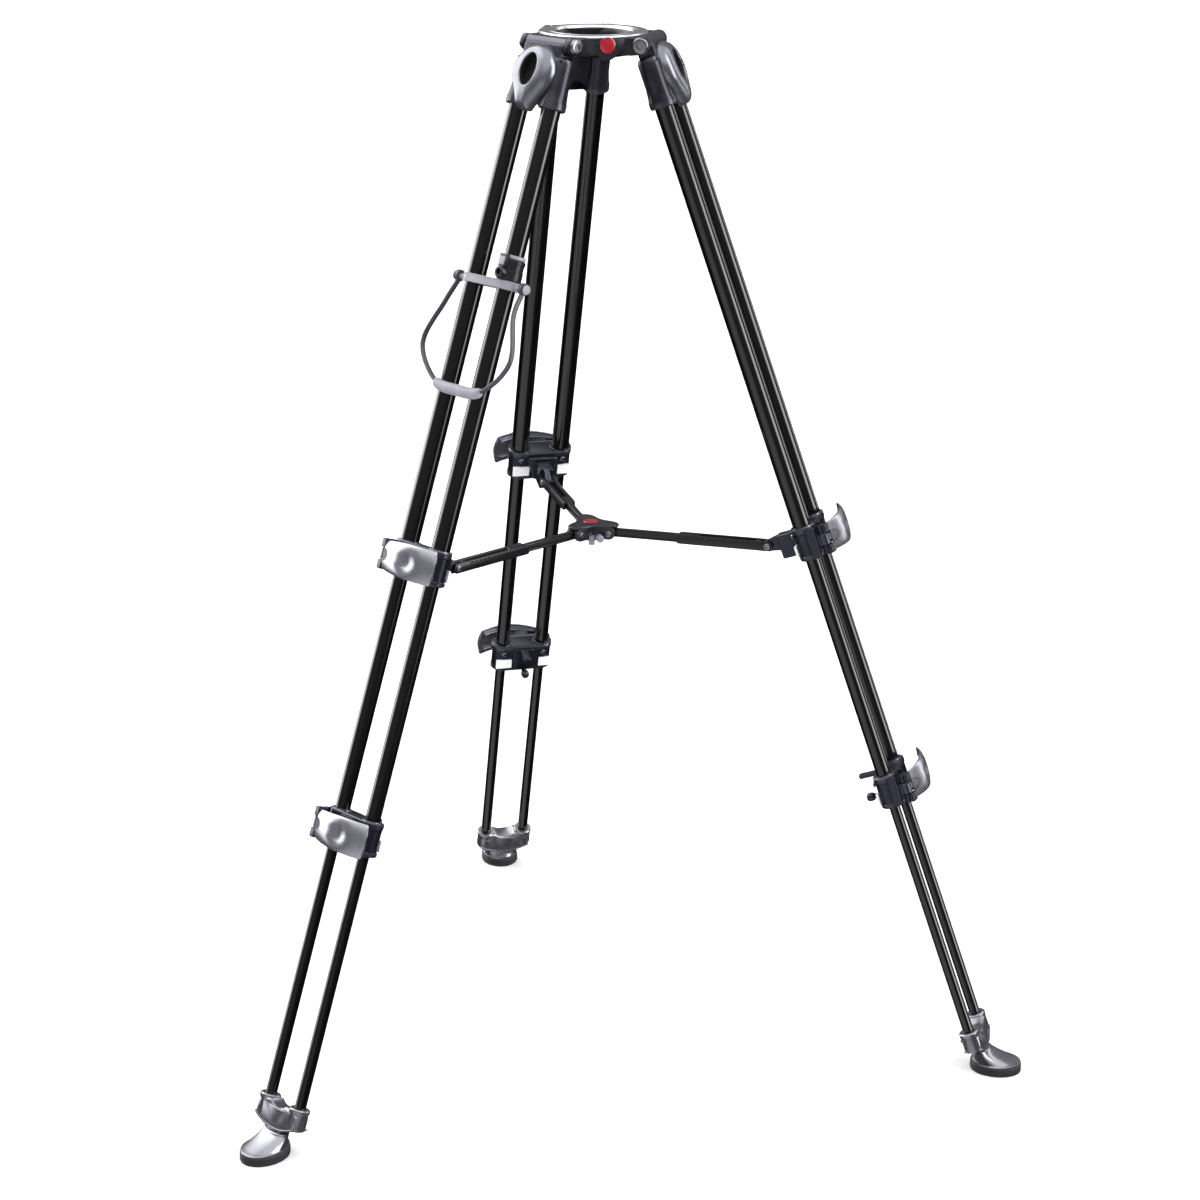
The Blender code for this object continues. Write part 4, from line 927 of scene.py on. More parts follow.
LEVER_TIP = 0.011
LEVER_RISE = 0.015
LEVER_THICKNESS = 0.0032
LEVER_HEEL = -0.0030
NOTCH_DEPTH = 0.0148
NOTCH_HALF = 0.0072
TAB_MIDDLE = -0.0070
TAB_LENGTH = 0.0102
LEVER_FINISH = painted_casting("silver_painted_casting", "#b4b4bd", "#94949e", "#f2f2f5",
                               0.25, 0.85, 0.25)


def arch_height(x, far):
    """Height of the lever's arch over its pivot: the rise times one less three quarters of
    the squared distance from the middle, as a share of half its length."""
    middle = far / 2
    return LEVER_RISE * (1 - 0.75 * ((x - middle) / middle) ** 2)


def arched(x, z, push, far):
    """Points on the lever's arch, pushed out along its normal."""
    middle = far / 2
    slope = -1.5 * LEVER_RISE * (x - middle) / middle**2
    lean = 1 / np.sqrt(1 + slope**2)
    return np.stack([x - push * slope * lean, arch_height(x, far) + push * lean, z], axis=-1)


def lever_wing(far):
    """The wing, as rounded sections carried from its heel to its free end.

    Each section is a flattened round whose outer side bows out a little. A thumb dimple
    dips it past the middle, and its heel is cut back in a half round for the knuckle.
    """
    t = np.linspace(0, 1, 64)[:, None]
    turn = np.linspace(0, 2 * np.pi, 96, endpoint=False)[None]
    side = np.sign(np.cos(turn)) * np.abs(np.cos(turn)) ** 0.45
    face = np.sign(np.sin(turn)) * np.abs(np.sin(turn)) ** 0.6
    tall = 0.0150 + 0.0032 * np.clip(t * 1.8, 0, 1) ** 0.8
    tall = tall * np.sqrt(np.clip(1 - (np.clip(t - 0.97, 0, 1) / 0.035) ** 2, 0.3, 1))
    z = tall * side
    notch = NOTCH_DEPTH * np.sqrt(np.clip(1 - (z / NOTCH_HALF) ** 2, 0, 1))
    heel = LEVER_HEEL - notch
    x = heel + (far - heel) * t
    dimple = 0.0042 * np.exp(-((x / far - 0.60) / 0.12) ** 2 - ((z + 0.001) / 0.0085) ** 2)
    push = LEVER_THICKNESS / 2 * (face - 1) + 0.0022 * (1 - side**2) - dimple
    return skin(arched(x, z, push, far))


def knuckle_tab(far):
    """A dark oval tab that fills the wing's notch, following the same arch."""
    unit = circle(56)[None]
    share = np.array([0.97, 1.0, 1.0, 0.93, 0.6, 0.1])[:, None]
    push = np.array([-0.0050, -0.0046, -0.0006, 0.0002, 0.0012, 0.0015])[:, None]
    x = TAB_MIDDLE + TAB_LENGTH * share * unit[..., 0]
    z = (NOTCH_HALF - 0.0010) * share * unit[..., 1]
    return skin(arched(x, z, np.broadcast_to(push, x.shape), far))


def eye_shells():
    """The two dark eyes at the wing's heel, one either side of the knuckle."""
    shells = []
    eye = np.vstack([
        arc(0.0048, 190, 360, 20),
        softened([(0.0048, 0.002), (0.0042, 0.0060), (-0.0042, 0.0082), (-0.0050, 0.001)],
                 0.0015),
    ])
    for side in (-1, 1):
        low, high = sorted((side * (KNUCKLE_HALF + 0.0006), side * LOCK_HEIGHT / 2.25))
        shells.append(slab(eye, low, high, 0.0007))
    return shells


def lever_shells(far):
    """The wing, with two ribs down its inside."""
    shells = [lever_wing(far)]
    ridge_x = np.linspace(-0.010, far + 0.008, 14)
    arch = arch_height(ridge_x, far)
    ridge = np.vstack([np.stack([ridge_x, arch - 0.0022], axis=-1),
                       np.stack([ridge_x, arch - 0.0050], axis=-1)[::-1]])
    for z in (-0.011, 0.011):
        shells.append(slab(ridge, z - 0.0009, z + 0.0009, 0.0003))
    return shells


for leg, place in LEG_PLACES.items():
    for lock, body, _, _ in LOCKS:
        lever = f"{leg}_{lock}_lever"
        pivot = inside(place, JOINTS[lever + "_flip"]["pos_m"])
        at_pivot = shifted(place, *pivot)
        far = -(LOCK_HALF_WIDTH + LEVER_TIP) - pivot[0]
        piece(lever + "_wing", lever_shells(far), at_pivot, lever, [lever],
              LEVER_FINISH)
        piece(lever + "_eyes", eye_shells(), at_pivot, lever, [],
              LOCK_FINISH)
        pin_half = LOCK_HEIGHT / 2 - 0.0026
        pin = [turned([(0.0016, -pin_half), (0.0022, -pin_half + 0.0005),
                       (0.0022, pin_half - 0.0005), (0.0016, pin_half)])]
        piece(lever + "_pin", pin, at_pivot, lever, [], STEEL_FINISH)
        piece(f"{leg}_{lock}_knuckle_tab", [knuckle_tab(far)], at_pivot, f"{leg}_{body}", [],
              LOCK_FINISH)

# ---------------------------------------------------------------- ankles
# A silver casting takes the two lower tubes and ends in the foot's pivot. It has bright
# lips where the tubes enter, and two small screws that hold them.

ANKLE_HEIGHT = 0.026
ANKLE_DROP = 0.010
ANKLE_RADIUS = 0.0105
ANKLE_FINISH = painted_casting("silver_ankle_casting", "#93939a", "#6d6d75", "#e4e4e8",
                               0.26, 0.85)


def ankle_shells():
    """Sockets, a scalloped web between them and the foot's tongue, from the pivot up."""
    half = TUBE_SPACING / 2
    low = ANKLE_DROP
    top = low + ANKLE_HEIGHT
    shells = []
    for x in (-half, half):
        shells.append(turned([
            (ANKLE_RADIUS - 0.003, low + 0.0020), (ANKLE_RADIUS - 0.0008, low + 0.0030),
            (ANKLE_RADIUS, low + 0.0055), (ANKLE_RADIUS - 0.0005, top - 0.006),
            (ANKLE_RADIUS + 0.0006, top - 0.0045), (ANKLE_RADIUS + 0.0006, top - 0.001),
            (ANKLE_RADIUS - 0.0004, top), (LOWER_RADIUS + 0.0008, top),
            (LOWER_RADIUS + 0.0003, top - 0.002),
        ], centre=(x, 0)))
    arch = arc(0.062, 240, 300, 24, (0, low + 0.058))
    web = np.vstack([arch, [(half + 0.007, top - 0.008), (half + 0.002, top - 0.003)],
                     arc(0.018, -48, -132, 14, (0, top + 0.0115)),
                     [(-half - 0.002, top - 0.003), (-half - 0.007, top - 0.008)]])
    shells.append(slab(web, -0.0098, 0.0098, 0.0028, "y"))
    panel = softened([(-0.013, low + 0.019), (0.013, low + 0.019), (0.008, low + 0.008),
                      (0, low + 0.001), (-0.008, low + 0.008)], 0.003)
    shells.append(slab(panel, -0.0110, 0.0110, 0.0012, "y"))
    lip = np.vstack([arch + (0, 0.0016), (arch - (0, 0.0006))[::-1]])
    shells.append(slab(lip, -0.0106, 0.0106, 0.0006, "y"))
    tongue = np.vstack([arc(0.008, 180, 360, 24), [(0.008, low + 0.006), (-0.008, low + 0.006)]])
    shells.append(slab(tongue, -0.0095, 0.0095, 0.0008, "x"))
    return shells


for leg, place in LEG_PLACES.items():
    pivot = inside(place, JOINTS[leg + "_foot_tilt"]["pos_m"])
    at_pivot = shifted(place, z=pivot[2])
    piece(leg + "_ankle_casting", ankle_shells(), at_pivot, leg + "_lower",
          [leg + "_ankle"], ANKLE_FINISH)
    screws = [socket_head(0.0026, 0.0014, -ANKLE_RADIUS + 0.0002, "y", -1,
                          (x, ANKLE_DROP + 0.016), 0.45) for x in SIDES.values()]
    piece(leg + "_ankle_screws", screws, at_pivot, leg + "_lower", [],
          STEEL_FINISH)

# ---------------------------------------------------------------- boots and soles
# The foot is a grey casting that rocks on the ankle's pin, over a thick rubber sole. Its
# toe slopes down outwards, and a bright bead runs round just above the rubber.

PIVOT_HEIGHT = JOINTS["rear_foot_tilt"]["pos_m"][2]
SOLE_HALF_LENGTH = 0.0282
SOLE_HALF_WIDTH = 0.0227
SOLE_FORWARD = 0.0165
SOLE_THICKNESS = 0.010
BOOT_TOP_HALF_LENGTH = 0.0082
BOOT_TOP_HALF_WIDTH = 0.0175
BOOT_TOP_FORWARD = 0.001
BOOT_FINISH = painted_casting("grey_painted_casting", "#a3a3aa", "#7c7c84", "#e4e4e8",
                              0.24, 0.85)


def sole_rubber():
    """Moulded rubber: nearly black, dull, with a fine grain about 0.6 mm across."""
    made, tree, shader = new_finish("moulded_rubber", 0.62, 0.0)
    own = pattern_place(tree)
    grain = add(tree, "ShaderNodeTexNoise", {"Vector": own, "Scale": 1600.0, "Detail": 3.0})
    dust = add(tree, "ShaderNodeTexNoise", {"Vector": own, "Scale": 90.0, "Detail": 3.0})
    tone = add(tree, "ShaderNodeMix", {0: dust.outputs["Fac"], 6: linear("#17171a"),
                                       7: linear("#2b2b2f")}, data_type="RGBA")
    relief = add(tree, "ShaderNodeBump", {"Height": grain.outputs["Fac"], "Strength": 0.35,
                                          "Distance": 0.0003})
    tree.links.new(tone.outputs[2], shader.inputs["Base Color"])
    tree.links.new(relief.outputs[0], shader.inputs["Normal"])
    return made


def oval(half_x, half_y, forward, count=72):
    """An ellipse set forward of the origin."""
    return circle(count) * (half_x, half_y) + (0, forward)


def boot_oval(share):
    """Half width, half length, forward shift and height of the boot's oval at a share of
    its height: the ovals shrink and move back, fast at first and then slowly, so the toe
    is hollow."""
    low = -PIVOT_HEIGHT + SOLE_THICKNESS + 0.0022
    top = -PIVOT_HEIGHT + SOLE_THICKNESS + 0.0150
    spread = 1 - share
    length = (BOOT_TOP_HALF_LENGTH
              + (SOLE_HALF_LENGTH - 0.0032 - BOOT_TOP_HALF_LENGTH) * spread ** 1.7)
    width = (BOOT_TOP_HALF_WIDTH
             + (SOLE_HALF_WIDTH - 0.0022 - BOOT_TOP_HALF_WIDTH) * spread ** 1.3)
    forward = BOOT_TOP_FORWARD + (SOLE_FORWARD - 0.0012 - BOOT_TOP_FORWARD) * spread ** 1.5
    return width, length, forward, low + (top - low) * share


def boot_shells():
    """A loft of ovals for the toe and heel, over a bead that stands out at the bottom."""
    bottom = -PIVOT_HEIGHT + SOLE_THICKNESS
    bead = ((0.0016, 0.0002), (0.0006, 0.0006), (0.0006, 0.0014), (0.0020, 0.0019))
    rings = [oval(SOLE_HALF_WIDTH - inset, SOLE_HALF_LENGTH - inset, SOLE_FORWARD)
             for inset, _ in bead]
    heights = [bottom + rise for _, rise in bead]
    for share in np.linspace(0, 1, 16):
        width, length, forward, height = boot_oval(share)
        rings.append(oval(width, length, forward))
        heights.append(height)
    rings.append(oval(0.0160, 0.0066, BOOT_TOP_FORWARD))
    return [skin(stacked(np.array(rings), [*heights, heights[-1] + 0.0006]))]


def painted_shade_strip_shells():
    """Painted shade down each side of the boot, where its hollow toe falls into shadow: a dark
    strip of its ovals between two bearings that drift towards the heel as it rises, just proud
    of the casting."""
    share = np.linspace(0.02, 0.98, 14)[:, None]
    width, length, forward, height = boot_oval(share)
    shells = []
    for side in (1, -1):
        spread = np.linspace(-1, 1, 12)[None]
        bearing = -0.10 - 0.25 * (1 - share) + 0.30 * spread
        strips = []
        for proud in (0.0004, -0.0015):
            x = side * (width + proud) * np.cos(bearing)
            y = forward + (length + proud) * np.sin(bearing)
            strips.append(np.stack([x, y, height + 0 * x], axis=-1))
        shells.append(skin(np.concatenate([strips[0], strips[1][:, ::-1]], axis=1)))
    return shells


def sole_shells():
    """The rubber pad: an oval with two grooves round its side and rounded edges."""
    low = -PIVOT_HEIGHT
    profile = np.array([(0.0020, 0.0), (0.0006, 0.0004), (0.0, 0.0016), (0.0, 0.0034),
                        (0.0009, 0.0040), (0.0, 0.0046), (0.0, 0.0062), (0.0009, 0.0068),
                        (0.0, 0.0074), (0.0, 0.0088), (0.0006, 0.0096), (0.0018, 0.0100)])
    rings = np.array([oval(SOLE_HALF_WIDTH - inset, SOLE_HALF_LENGTH - inset, SOLE_FORWARD)
                      for inset, _ in profile])
    return [skin(stacked(rings, low + profile[:, 1]))]


RUBBER_FINISH = sole_rubber()
for leg in LEGS:
    foot = JOINTS[leg + "_foot_tilt"]
    at_foot = frame_of(foot["axis"], (0, 0, 1), foot["pos_m"])
    piece(leg + "_boot_casting", boot_shells(), at_foot, leg + "_foot",
          [leg + "_boot"], BOOT_FINISH, 50)
    piece(leg + "_sole_rubber", sole_shells(), at_foot, leg + "_foot", [leg + "_sole"],
          RUBBER_FINISH)
    # A dark rubber strip down each side of the boot is painted shade in its hollow toe.
    piece(leg + "_boot_painted_shade", painted_shade_strip_shells(), at_foot, leg + "_foot", [],
          RUBBER_FINISH)

# ---------------------------------------------------------------- spreader arms
# Each arm is moulded in glass-filled nylon. Two ribbed rails, pinned to the lock's lug,
# slide along a single bar that is pinned to the hub.

ARM_HEIGHT = 0.010
ARM_LENGTH = 0.100
RAIL_IN = 0.0035
RAIL_OUT = 0.0071
EYE_RADIUS = 0.006


def black_nylon(name, colour, shade, roughness):
    """Glass-filled nylon: matt black, with a fine pebble from the mould, 0.7 mm across."""
    made, tree, shader = new_finish(name, roughness, 0.0)
    own = pattern_place(tree)
    pebble = add(tree, "ShaderNodeTexVoronoi", {"Vector": own, "Scale": 1400.0})
    cloud = add(tree, "ShaderNodeTexNoise", {"Vector": own, "Scale": 70.0, "Detail": 3.0})
    tone = add(tree, "ShaderNodeMix", {0: cloud.outputs["Fac"], 6: linear(shade),
                                       7: linear(colour)}, data_type="RGBA")
    gloss = add(tree, "ShaderNodeMapRange", {"Value": cloud.outputs["Fac"],
                                             "To Min": roughness - 0.08,
                                             "To Max": roughness + 0.08})
    relief = add(tree, "ShaderNodeBump", {"Height": pebble.outputs["Distance"],
                                          "Strength": 0.15, "Distance": 0.0002})
    tree.links.new(tone.outputs[2], shader.inputs["Base Color"])
    tree.links.new(gloss.outputs[0], shader.inputs["Roughness"])
    tree.links.new(relief.outputs[0], shader.inputs["Normal"])
    return made


ARM_FINISH = black_nylon("glass_filled_nylon", "#17171b", "#0c0c0f", 0.3)
RIB_PITCH = 0.0062


def fork_shells():
    """Two rails with eyes at the lock, joined by a bridge, and ribs along both."""
    half = ARM_HEIGHT / 2
    side = np.vstack([arc(EYE_RADIUS, -58, 58, 16),
                      softened([(-0.004, half), (-ARM_LENGTH, half), (-ARM_LENGTH, -half),
                                (-0.004, -half)], 0.003, 5)[5:-5]])
    shells = []
    for low, high in ((RAIL_IN, RAIL_OUT), (-RAIL_OUT, -RAIL_IN)):
        shells.append(slab(side, low, high, 0.0006, "x", steps=3))
    starts = np.arange(-0.016, -ARM_LENGTH + 0.006, -RIB_PITCH)
    for start in starts:
        for low, high in ((RAIL_OUT - 0.0006, RAIL_OUT + 0.0006),
                          (-RAIL_OUT - 0.0006, -RAIL_OUT + 0.0006)):
            rib = [(start, half - 0.0024), (start, half - 0.0008),
                   (start - 0.0040, half - 0.0008), (start - 0.0040, half - 0.0024)]
            shells.append(slab(rib, low, high, 0.0002, "x", steps=2))
    bridge = softened([(-RAIL_OUT + 0.001, -0.0085), (RAIL_OUT - 0.001, -0.0085),
                       (RAIL_OUT - 0.001, -0.0145), (-RAIL_OUT + 0.001, -0.0145)], 0.001)
    shells.append(slab(bridge, 0.0005 - half, half - 0.0005, 0.0005))
    return shells


def bar_shells():
    """The inner bar, its eye at the hub, with a shallow panel sunk along each side."""
    half = ARM_HEIGHT / 2 - 0.0005
    side = np.vstack([arc(EYE_RADIUS - 0.0005, 60, 300, 24),
                      softened([(0.003, -half), (ARM_LENGTH, -half), (ARM_LENGTH, half),
                                (0.003, half)], 0.002, 5)[5:-5]])
    shells = [slab(side, -0.0022, 0.0022, 0.0004, "x", steps=3)]
    for top in (half, -half + 0.0022):
        flange = softened([(0.006, top - 0.0022), (ARM_LENGTH - 0.001, top - 0.0022),
                           (ARM_LENGTH - 0.001, top), (0.006, top)], 0.0005, 4)
        shells.append(slab(flange, -0.0030, 0.0030, 0.0004, "x", steps=3))
    return shells


for leg in LEGS:
    fork = JOINTS[leg + "_fork_swing"]
    at_fork = frame_of(fork["axis"], (0, 0, 1), fork["pos_m"])
    piece(leg + "_arm_rails", fork_shells(), at_fork, leg + "_fork", [leg + "_arm_fork"],
          ARM_FINISH)
    pins = [socket_head(0.0038, 0.0016, side * RAIL_OUT, "x", side, socket=0.45)
            for side in (-1, 1)]
    piece(leg + "_arm_pin", pins, at_fork, leg + "_fork", [], STEEL_FINISH)
    bar = JOINTS[leg + "_bar_swing"]
    at_bar = frame_of(bar["axis"], (0, 0, 1), bar["pos_m"])
    piece(leg + "_arm_inner_bar", bar_shells(), at_bar, leg + "_bar", [leg + "_arm_bar"],
          ARM_FINISH)

# ---------------------------------------------------------------- spreader hub
# The hub is moulded in the same nylon: a core with three pairs of cheeks for the arms
# under a three-lobed cover, a red dome on top, and a grey locking knob at one side.

HUB_PIVOT_RADIUS = 0.022
hub_height = JOINTS["rear_bar_swing"]["pos_m"][2]
HUB_PLACE = frame_of((1, 0, 0), (0, 0, 1), (axis_place[0], axis_place[1], hub_height))
CHEEK_IN = 0.0035
CHEEK_OUT = 0.0085
COVER_LOW = 0.0066
COVER_HIGH = 0.0096
HUB_FINISH = black_nylon("charcoal_nylon", "#2b2b33", "#18181e", 0.3)
KNOB_FINISH = black_nylon("grey_nylon", "#8f90a0", "#747585", 0.33)


def hub_shells():
    """Core, cheeks and the lobed cover.

    The cover's edge is a circle whose radius swells towards each arm: the mean radius
    plus a swing times a power of the half cosine of three times the bearing.
    """
    shells = [turned([(0.0105, -0.009), (0.012, -0.0075), (0.012, 0.009), (0.011, 0.0092)])]
    bearing = np.linspace(0, 2 * np.pi, 120, endpoint=False)
    unit = circle(120)
    lobes = 0.0165 + 0.0150 * (0.5 + 0.5 * np.cos(3 * (bearing - np.pi / 2))) ** 1.6
    outline = unit * lobes[:, None]
    shells.append(slab(outline, COVER_LOW, COVER_HIGH, 0.0012))
    raised = unit * (lobes * 0.62)[:, None]
    shells.append(slab(raised, COVER_HIGH - 0.001, COVER_HIGH + 0.0001, 0.0004))
    for turn in LEG_TURNS.values():
        cheek = np.vstack([
            arc(EYE_RADIUS + 0.001, -90, 55, 18, (HUB_PIVOT_RADIUS, 0)),
            [(HUB_PIVOT_RADIUS + 0.0015, COVER_HIGH - 0.001), (0.004, COVER_HIGH - 0.001),
             (0.004, -EYE_RADIUS - 0.001)],
        ])
        for low, high in ((CHEEK_IN, CHEEK_OUT), (-CHEEK_OUT, -CHEEK_IN)):
            shells.append(turned_by(slab(cheek, low, high, 0.0008, "x"), turn))
        pin = turned([(0.0021, -CHEEK_IN - 0.001), (0.0021, CHEEK_IN + 0.001)], "x",
                     (HUB_PIVOT_RADIUS, 0))
        shells.append(turned_by(pin, turn))
    return shells


piece("spreader_hub_body", hub_shells(), HUB_PLACE, "spreader_hub", ["spreader_hub"],
      HUB_FINISH)
piece("hub_badge_dome", [dome(BADGE_RADIUS, 0.0018, "z", COVER_HIGH + 0.0003)], HUB_PLACE,
      "spreader_hub", ["hub_badge"], RED_FINISH)
hub_bolts = []
for turn in LEG_TURNS.values():
    for side in (-1, 1):
        head = socket_head(0.0036, 0.0016, side * CHEEK_OUT, "x", side,
                           (HUB_PIVOT_RADIUS, 0), 0.45)
        hub_bolts.append(turned_by(head, turn))
hub_bolts.append(socket_head(0.0024, 0.0012, -0.0118, "y", -1, (-0.004, -0.002), 0.45))
piece("hub_bolts", hub_bolts, HUB_PLACE, "spreader_hub", [], STEEL_FINISH)
knob = [turned([(0.0030, -0.0125), (0.0034, -0.0115), (0.0034, -0.003), (0.0030, -0.002)],
               centre=(-0.002, -0.0125), count=32),
        turned([(0.0026, -0.026), (0.0040, -0.0250), (0.0042, -0.019), (0.0036, -0.0175),
                (0.0024, -0.017), (0.0024, -0.011)], "y", (0.0045, -0.0035), count=32)]
piece("hub_knobs", knob, HUB_PLACE, "spreader_hub", [], KNOB_FINISH)

# ---------------------------------------------------------------- carry handle
# A clip across the front left leg's upper tubes carries a swinging handle: two flexible
# straps on studs, with a soft grip moulded over the bottom of the loop.

BAND_HALF = 0.0045
handle_joint = JOINTS["handle_swing"]
handle_leg = LEG_PLACES["front_left"]
HANDLE_PLACE = shifted(handle_leg, z=inside(handle_leg, handle_joint["pos_m"])[2])
STUD_RADIUS = 0.003
HANDLE_HALF = 0.048
HANDLE_BELLY = 0.066
HANDLE_HANG = 0.115
HANDLE_LEAN = 0.008
STRAP_RADIUS = 0.003
GRIP_RADIUS = 0.006
CLAMP_TALL = 0.022


def grey_plastic(name, colour, shade, roughness, grain):
    """Moulded flexible plastic: even grey, a soft sheen and a fine mould grain."""
    made, tree, shader = new_finish(name, roughness, 0.0)
    own = pattern_place(tree)
    fine = add(tree, "ShaderNodeTexNoise", {"Vector": own, "Scale": 1500.0, "Detail": 2.0})
    cloud = add(tree, "ShaderNodeTexNoise", {"Vector": own, "Scale": 60.0, "Detail": 3.0})
    tone = add(tree, "ShaderNodeMix", {0: cloud.outputs["Fac"], 6: linear(shade),
                                       7: linear(colour)}, data_type="RGBA")
    relief = add(tree, "ShaderNodeBump", {"Height": fine.outputs["Fac"], "Strength": grain,
                                          "Distance": 0.0002})
    tree.links.new(tone.outputs[2], shader.inputs["Base Color"])
    tree.links.new(relief.outputs[0], shader.inputs["Normal"])
    return made


BAND_FINISH = grey_plastic("grey_acetal", "#9c9da4", "#7b7c84", 0.3, 0.08)
STRAP_FINISH = grey_plastic("grey_flexible_pvc", "#4d4e55", "#303137", 0.3, 0.12)
GRIP_FINISH = grey_plastic("soft_grey_rubber", "#a09daa", "#77737f", 0.45, 0.3)
CLAMP_FINISH = black_nylon("black_nylon", "#1c1c21", "#0f0f12", 0.32)


def band_shells():
    """The clip: a stadium round both tubes with a raised rim at its edges, and studs."""
    half = TUBE_SPACING / 2
    outer = UPPER_RADIUS + 0.0025
    bore = UPPER_RADIUS + BORE_GAP
    section = ((bore, -BAND_HALF), (outer, -BAND_HALF), (outer + 0.0006, -BAND_HALF + 0.0005),
               (outer + 0.0006, -BAND_HALF + 0.0014), (outer, -BAND_HALF + 0.0018),
               (outer, BAND_HALF - 0.0018), (outer + 0.0006, BAND_HALF - 0.0014),
               (outer + 0.0006, BAND_HALF - 0.0005), (outer, BAND_HALF), (bore, BAND_HALF))
    rings = np.array([stadium(half, radius) for radius, _ in section])
    shells = [skin(stacked(rings, [z for _, z in section]), wrap=True)]
    for side in (-1, 1):
        profile = [(STUD_RADIUS, side * (half + bore + 0.0006)),
                   (STUD_RADIUS, side * (HANDLE_HALF + 0.0037)),
                   (STUD_RADIUS + 0.0018, side * (HANDLE_HALF + 0.0039)),
                   (STUD_RADIUS + 0.0022, side * (HANDLE_HALF + 0.0046)),
                   (STUD_RADIUS + 0.0016, side * (HANDLE_HALF + 0.0058)),
                   (STUD_RADIUS - 0.0010, side * (HANDLE_HALF + 0.0062))]
        shells.append(turned(profile, "x"))
    return shells


def clamp_shells():
    """A split ring on one tube, its buckle, and a round boss on its face with a socket."""
    outer = UPPER_RADIUS + 0.003
    bore = UPPER_RADIUS + BORE_GAP
    shells = [turned([
        (outer - 0.001, 0), (outer, 0.001), (outer, 0.010), (outer - 0.0006, 0.0106),
        (outer - 0.0006, CLAMP_TALL - 0.0046), (outer, CLAMP_TALL - 0.004),
        (outer, CLAMP_TALL - 0.001), (outer - 0.001, CLAMP_TALL), (bore, CLAMP_TALL), (bore, 0),
    ], wrap=True)]
    shells.append(socket_head(0.0062, 0.0058, outer - 0.0018, "y", 1, (0, 0.0068), 0.5))
    buckle = softened([(-0.005, 0.012), (0.005, 0.012), (0.0058, CLAMP_TALL + 0.004),
                       (-0.0058, CLAMP_TALL + 0.004)], 0.002)
    shells.append(slab(buckle, outer - 0.002, outer + 0.0022, 0.0008, "y"))
    return shells


def clamp_trim_shells():
    """The light parts of the clamp: a ring at its top and a plate on its buckle."""
    outer = UPPER_RADIUS + 0.0016
    bore = UPPER_RADIUS + BORE_GAP
    ring = turned([(outer, CLAMP_TALL + 0.0004), (outer + 0.0006, CLAMP_TALL + 0.001),
                   (outer + 0.0006, CLAMP_TALL + 0.0034), (outer, CLAMP_TALL + 0.004),
                   (bore, CLAMP_TALL + 0.004), (bore, CLAMP_TALL + 0.0004)], wrap=True)
    plate = softened([(-0.0034, 0.0145), (0.0034, 0.0145), (0.0040, CLAMP_TALL + 0.001),
                      (-0.0040, CLAMP_TALL + 0.001)], 0.001)
    return [ring, slab(plate, UPPER_RADIUS + 0.0045, UPPER_RADIUS + 0.0058, 0.0004, "y")]


def handle_knots():
    """The loop's knots from one stud down round the grip to the other, studs at z = 0."""
    out = UPPER_RADIUS + GRIP_RADIUS + 0.0006
    side = np.array([
        (HANDLE_HALF, 0, -0.004), (HANDLE_HALF + 0.004, out * 0.5, -0.030),
        (HANDLE_BELLY, out * 0.85, -HANDLE_HANG * 0.66),
        (HANDLE_BELLY * 0.55, out, -HANDLE_HANG + 0.005),
    ])
    loop = np.vstack([side, [(0, out, -HANDLE_HANG)], side[::-1] * (-1, 1, 1)])
    loop[:, 0] -= HANDLE_LEAN * (loop[:, 2] / HANDLE_HANG) ** 2
    return loop


def curve_through(knots, steps):
    """A smooth curve through knots: each span is a cubic whose end slopes are half the
    chord between the neighbours on both sides."""
    ends = np.vstack([2 * knots[0] - knots[1], knots, 2 * knots[-1] - knots[-2]])
    t = np.linspace(0, 1, steps, endpoint=False)[None, :, None]
    p0, p1, p2, p3 = (ends[i:len(ends) - 3 + i, None] for i in range(4))
    spans = 0.5 * (2 * p1 + (p2 - p0) * t + (2 * p0 - 5 * p1 + 4 * p2 - p3) * t**2
                   + (3 * p1 - p0 - 3 * p2 + p3) * t**3)
    return np.vstack([spans.reshape(-1, 3), knots[-1:]])


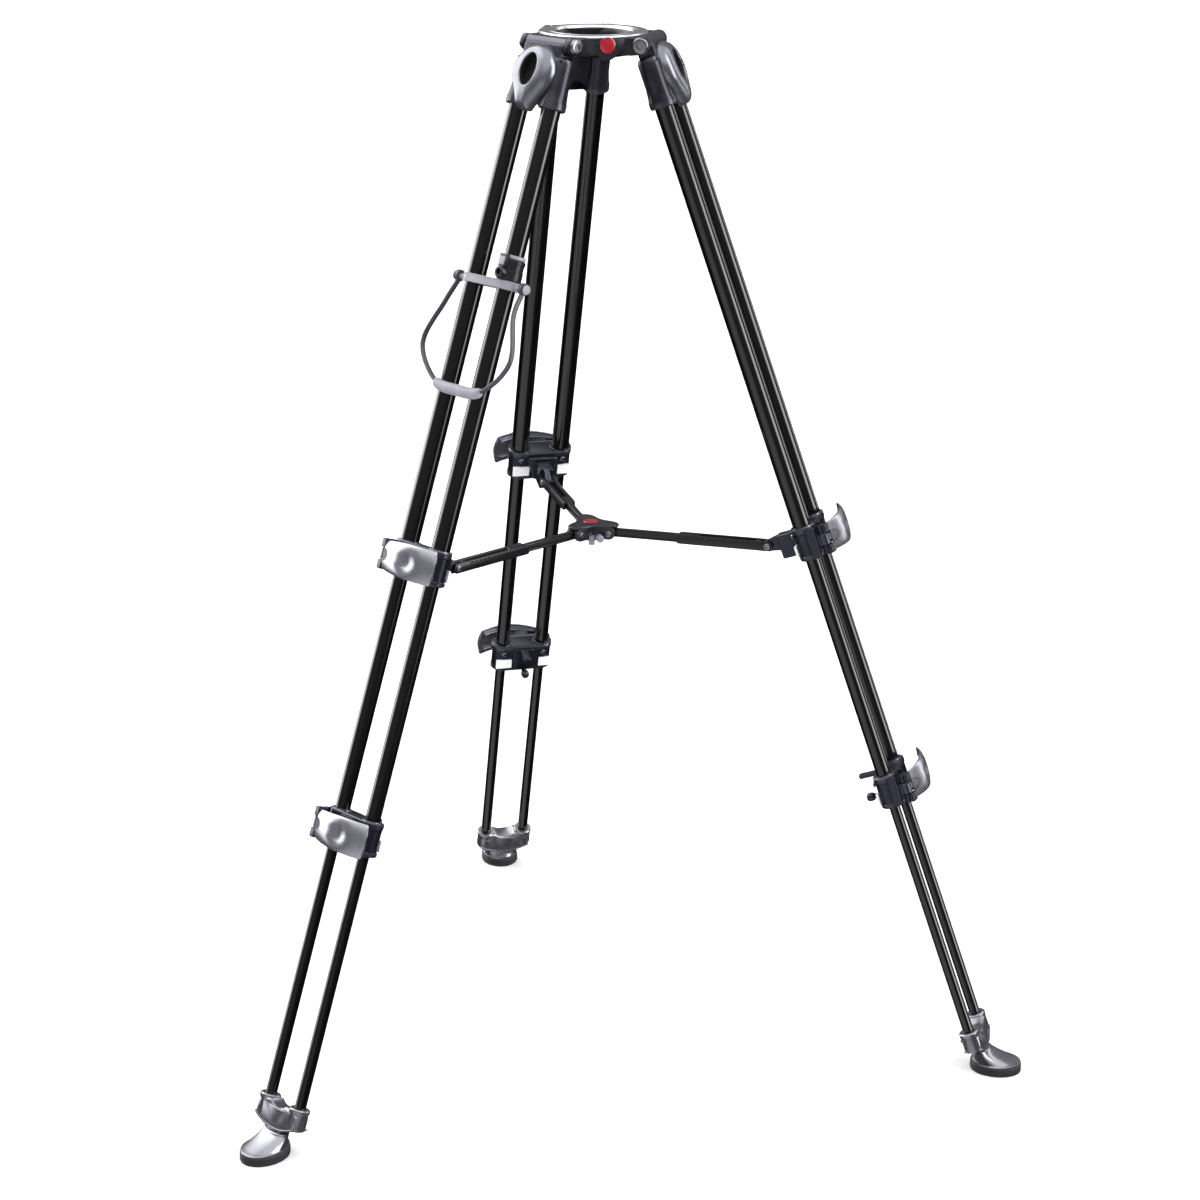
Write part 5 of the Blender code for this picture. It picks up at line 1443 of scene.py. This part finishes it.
def swept(path, wide, deep, count=28):
    """An oval section carried along a path, square to it.

    The section's width lies along the path's own plane and its depth square to that.
    """
    slope = np.gradient(path, axis=0)
    slope /= np.linalg.norm(slope, axis=1, keepdims=True)
    flat = np.cross(slope, (0, 1, 0))
    flat /= np.linalg.norm(flat, axis=1, keepdims=True)
    tall = np.cross(flat, slope)
    unit = circle(count)
    wide = np.broadcast_to(wide, len(path))[:, None, None]
    deep = np.broadcast_to(deep, len(path))[:, None, None]
    return skin(path[:, None] + wide * unit[None, :, :1] * flat[:, None]
                + deep * unit[None, :, 1:] * tall[:, None])


STRAP_STEPS = 14
TUCKED_STEPS = 5  # of strap inside each end of the grip
loop = curve_through(handle_knots(), STRAP_STEPS)
piece("handle_clip", band_shells(), HANDLE_PLACE, "front_left_leg", ["handle_band"],
      BAND_FINISH)
clamp_place = shifted(HANDLE_PLACE, -TUBE_SPACING / 2, 0, BAND_HALF + 0.0003)
piece("handle_clamp_ring", clamp_shells(), clamp_place, "front_left_leg",
      ["handle_clamp"], CLAMP_FINISH)
piece("handle_clamp_trim", clamp_trim_shells(), clamp_place, "front_left_leg", [],
      BAND_FINISH)
grip_start = 3 * STRAP_STEPS
grip_end = 5 * STRAP_STEPS
straps = ((1, "b", loop[:grip_start + TUCKED_STEPS]),
          (-1, "a", loop[grip_end - TUCKED_STEPS:]))
for side, name, stretch in straps:
    low, high = sorted((side * (HANDLE_HALF - 0.0025), side * (HANDLE_HALF + 0.0025)))
    eye = turned([(STUD_RADIUS + 0.0026, low), (STUD_RADIUS + 0.0032, low + 0.0006),
                  (STUD_RADIUS + 0.0032, high - 0.0006), (STUD_RADIUS + 0.0026, high),
                  (STUD_RADIUS + 0.0003, high), (STUD_RADIUS + 0.0003, low)], "x", wrap=True)
    piece("handle_strap_side_" + name, [swept(stretch, STRAP_RADIUS * 0.75, STRAP_RADIUS), eye],
          HANDLE_PLACE, "handle", ["handle_strap_" + name], STRAP_FINISH)
grip_path = loop[grip_start:grip_end + 1]
share = np.linspace(-1, 1, len(grip_path))
rounding = np.sqrt(np.clip(1.02 - np.abs(share) ** 12, 0.1, 1))
swell = GRIP_RADIUS * (1 - 0.1 * share**2) * rounding
piece("handle_grip_sleeve", [swept(grip_path, swell, swell * 0.9, 40)], HANDLE_PLACE,
      "handle", ["handle_grip"], GRIP_FINISH)
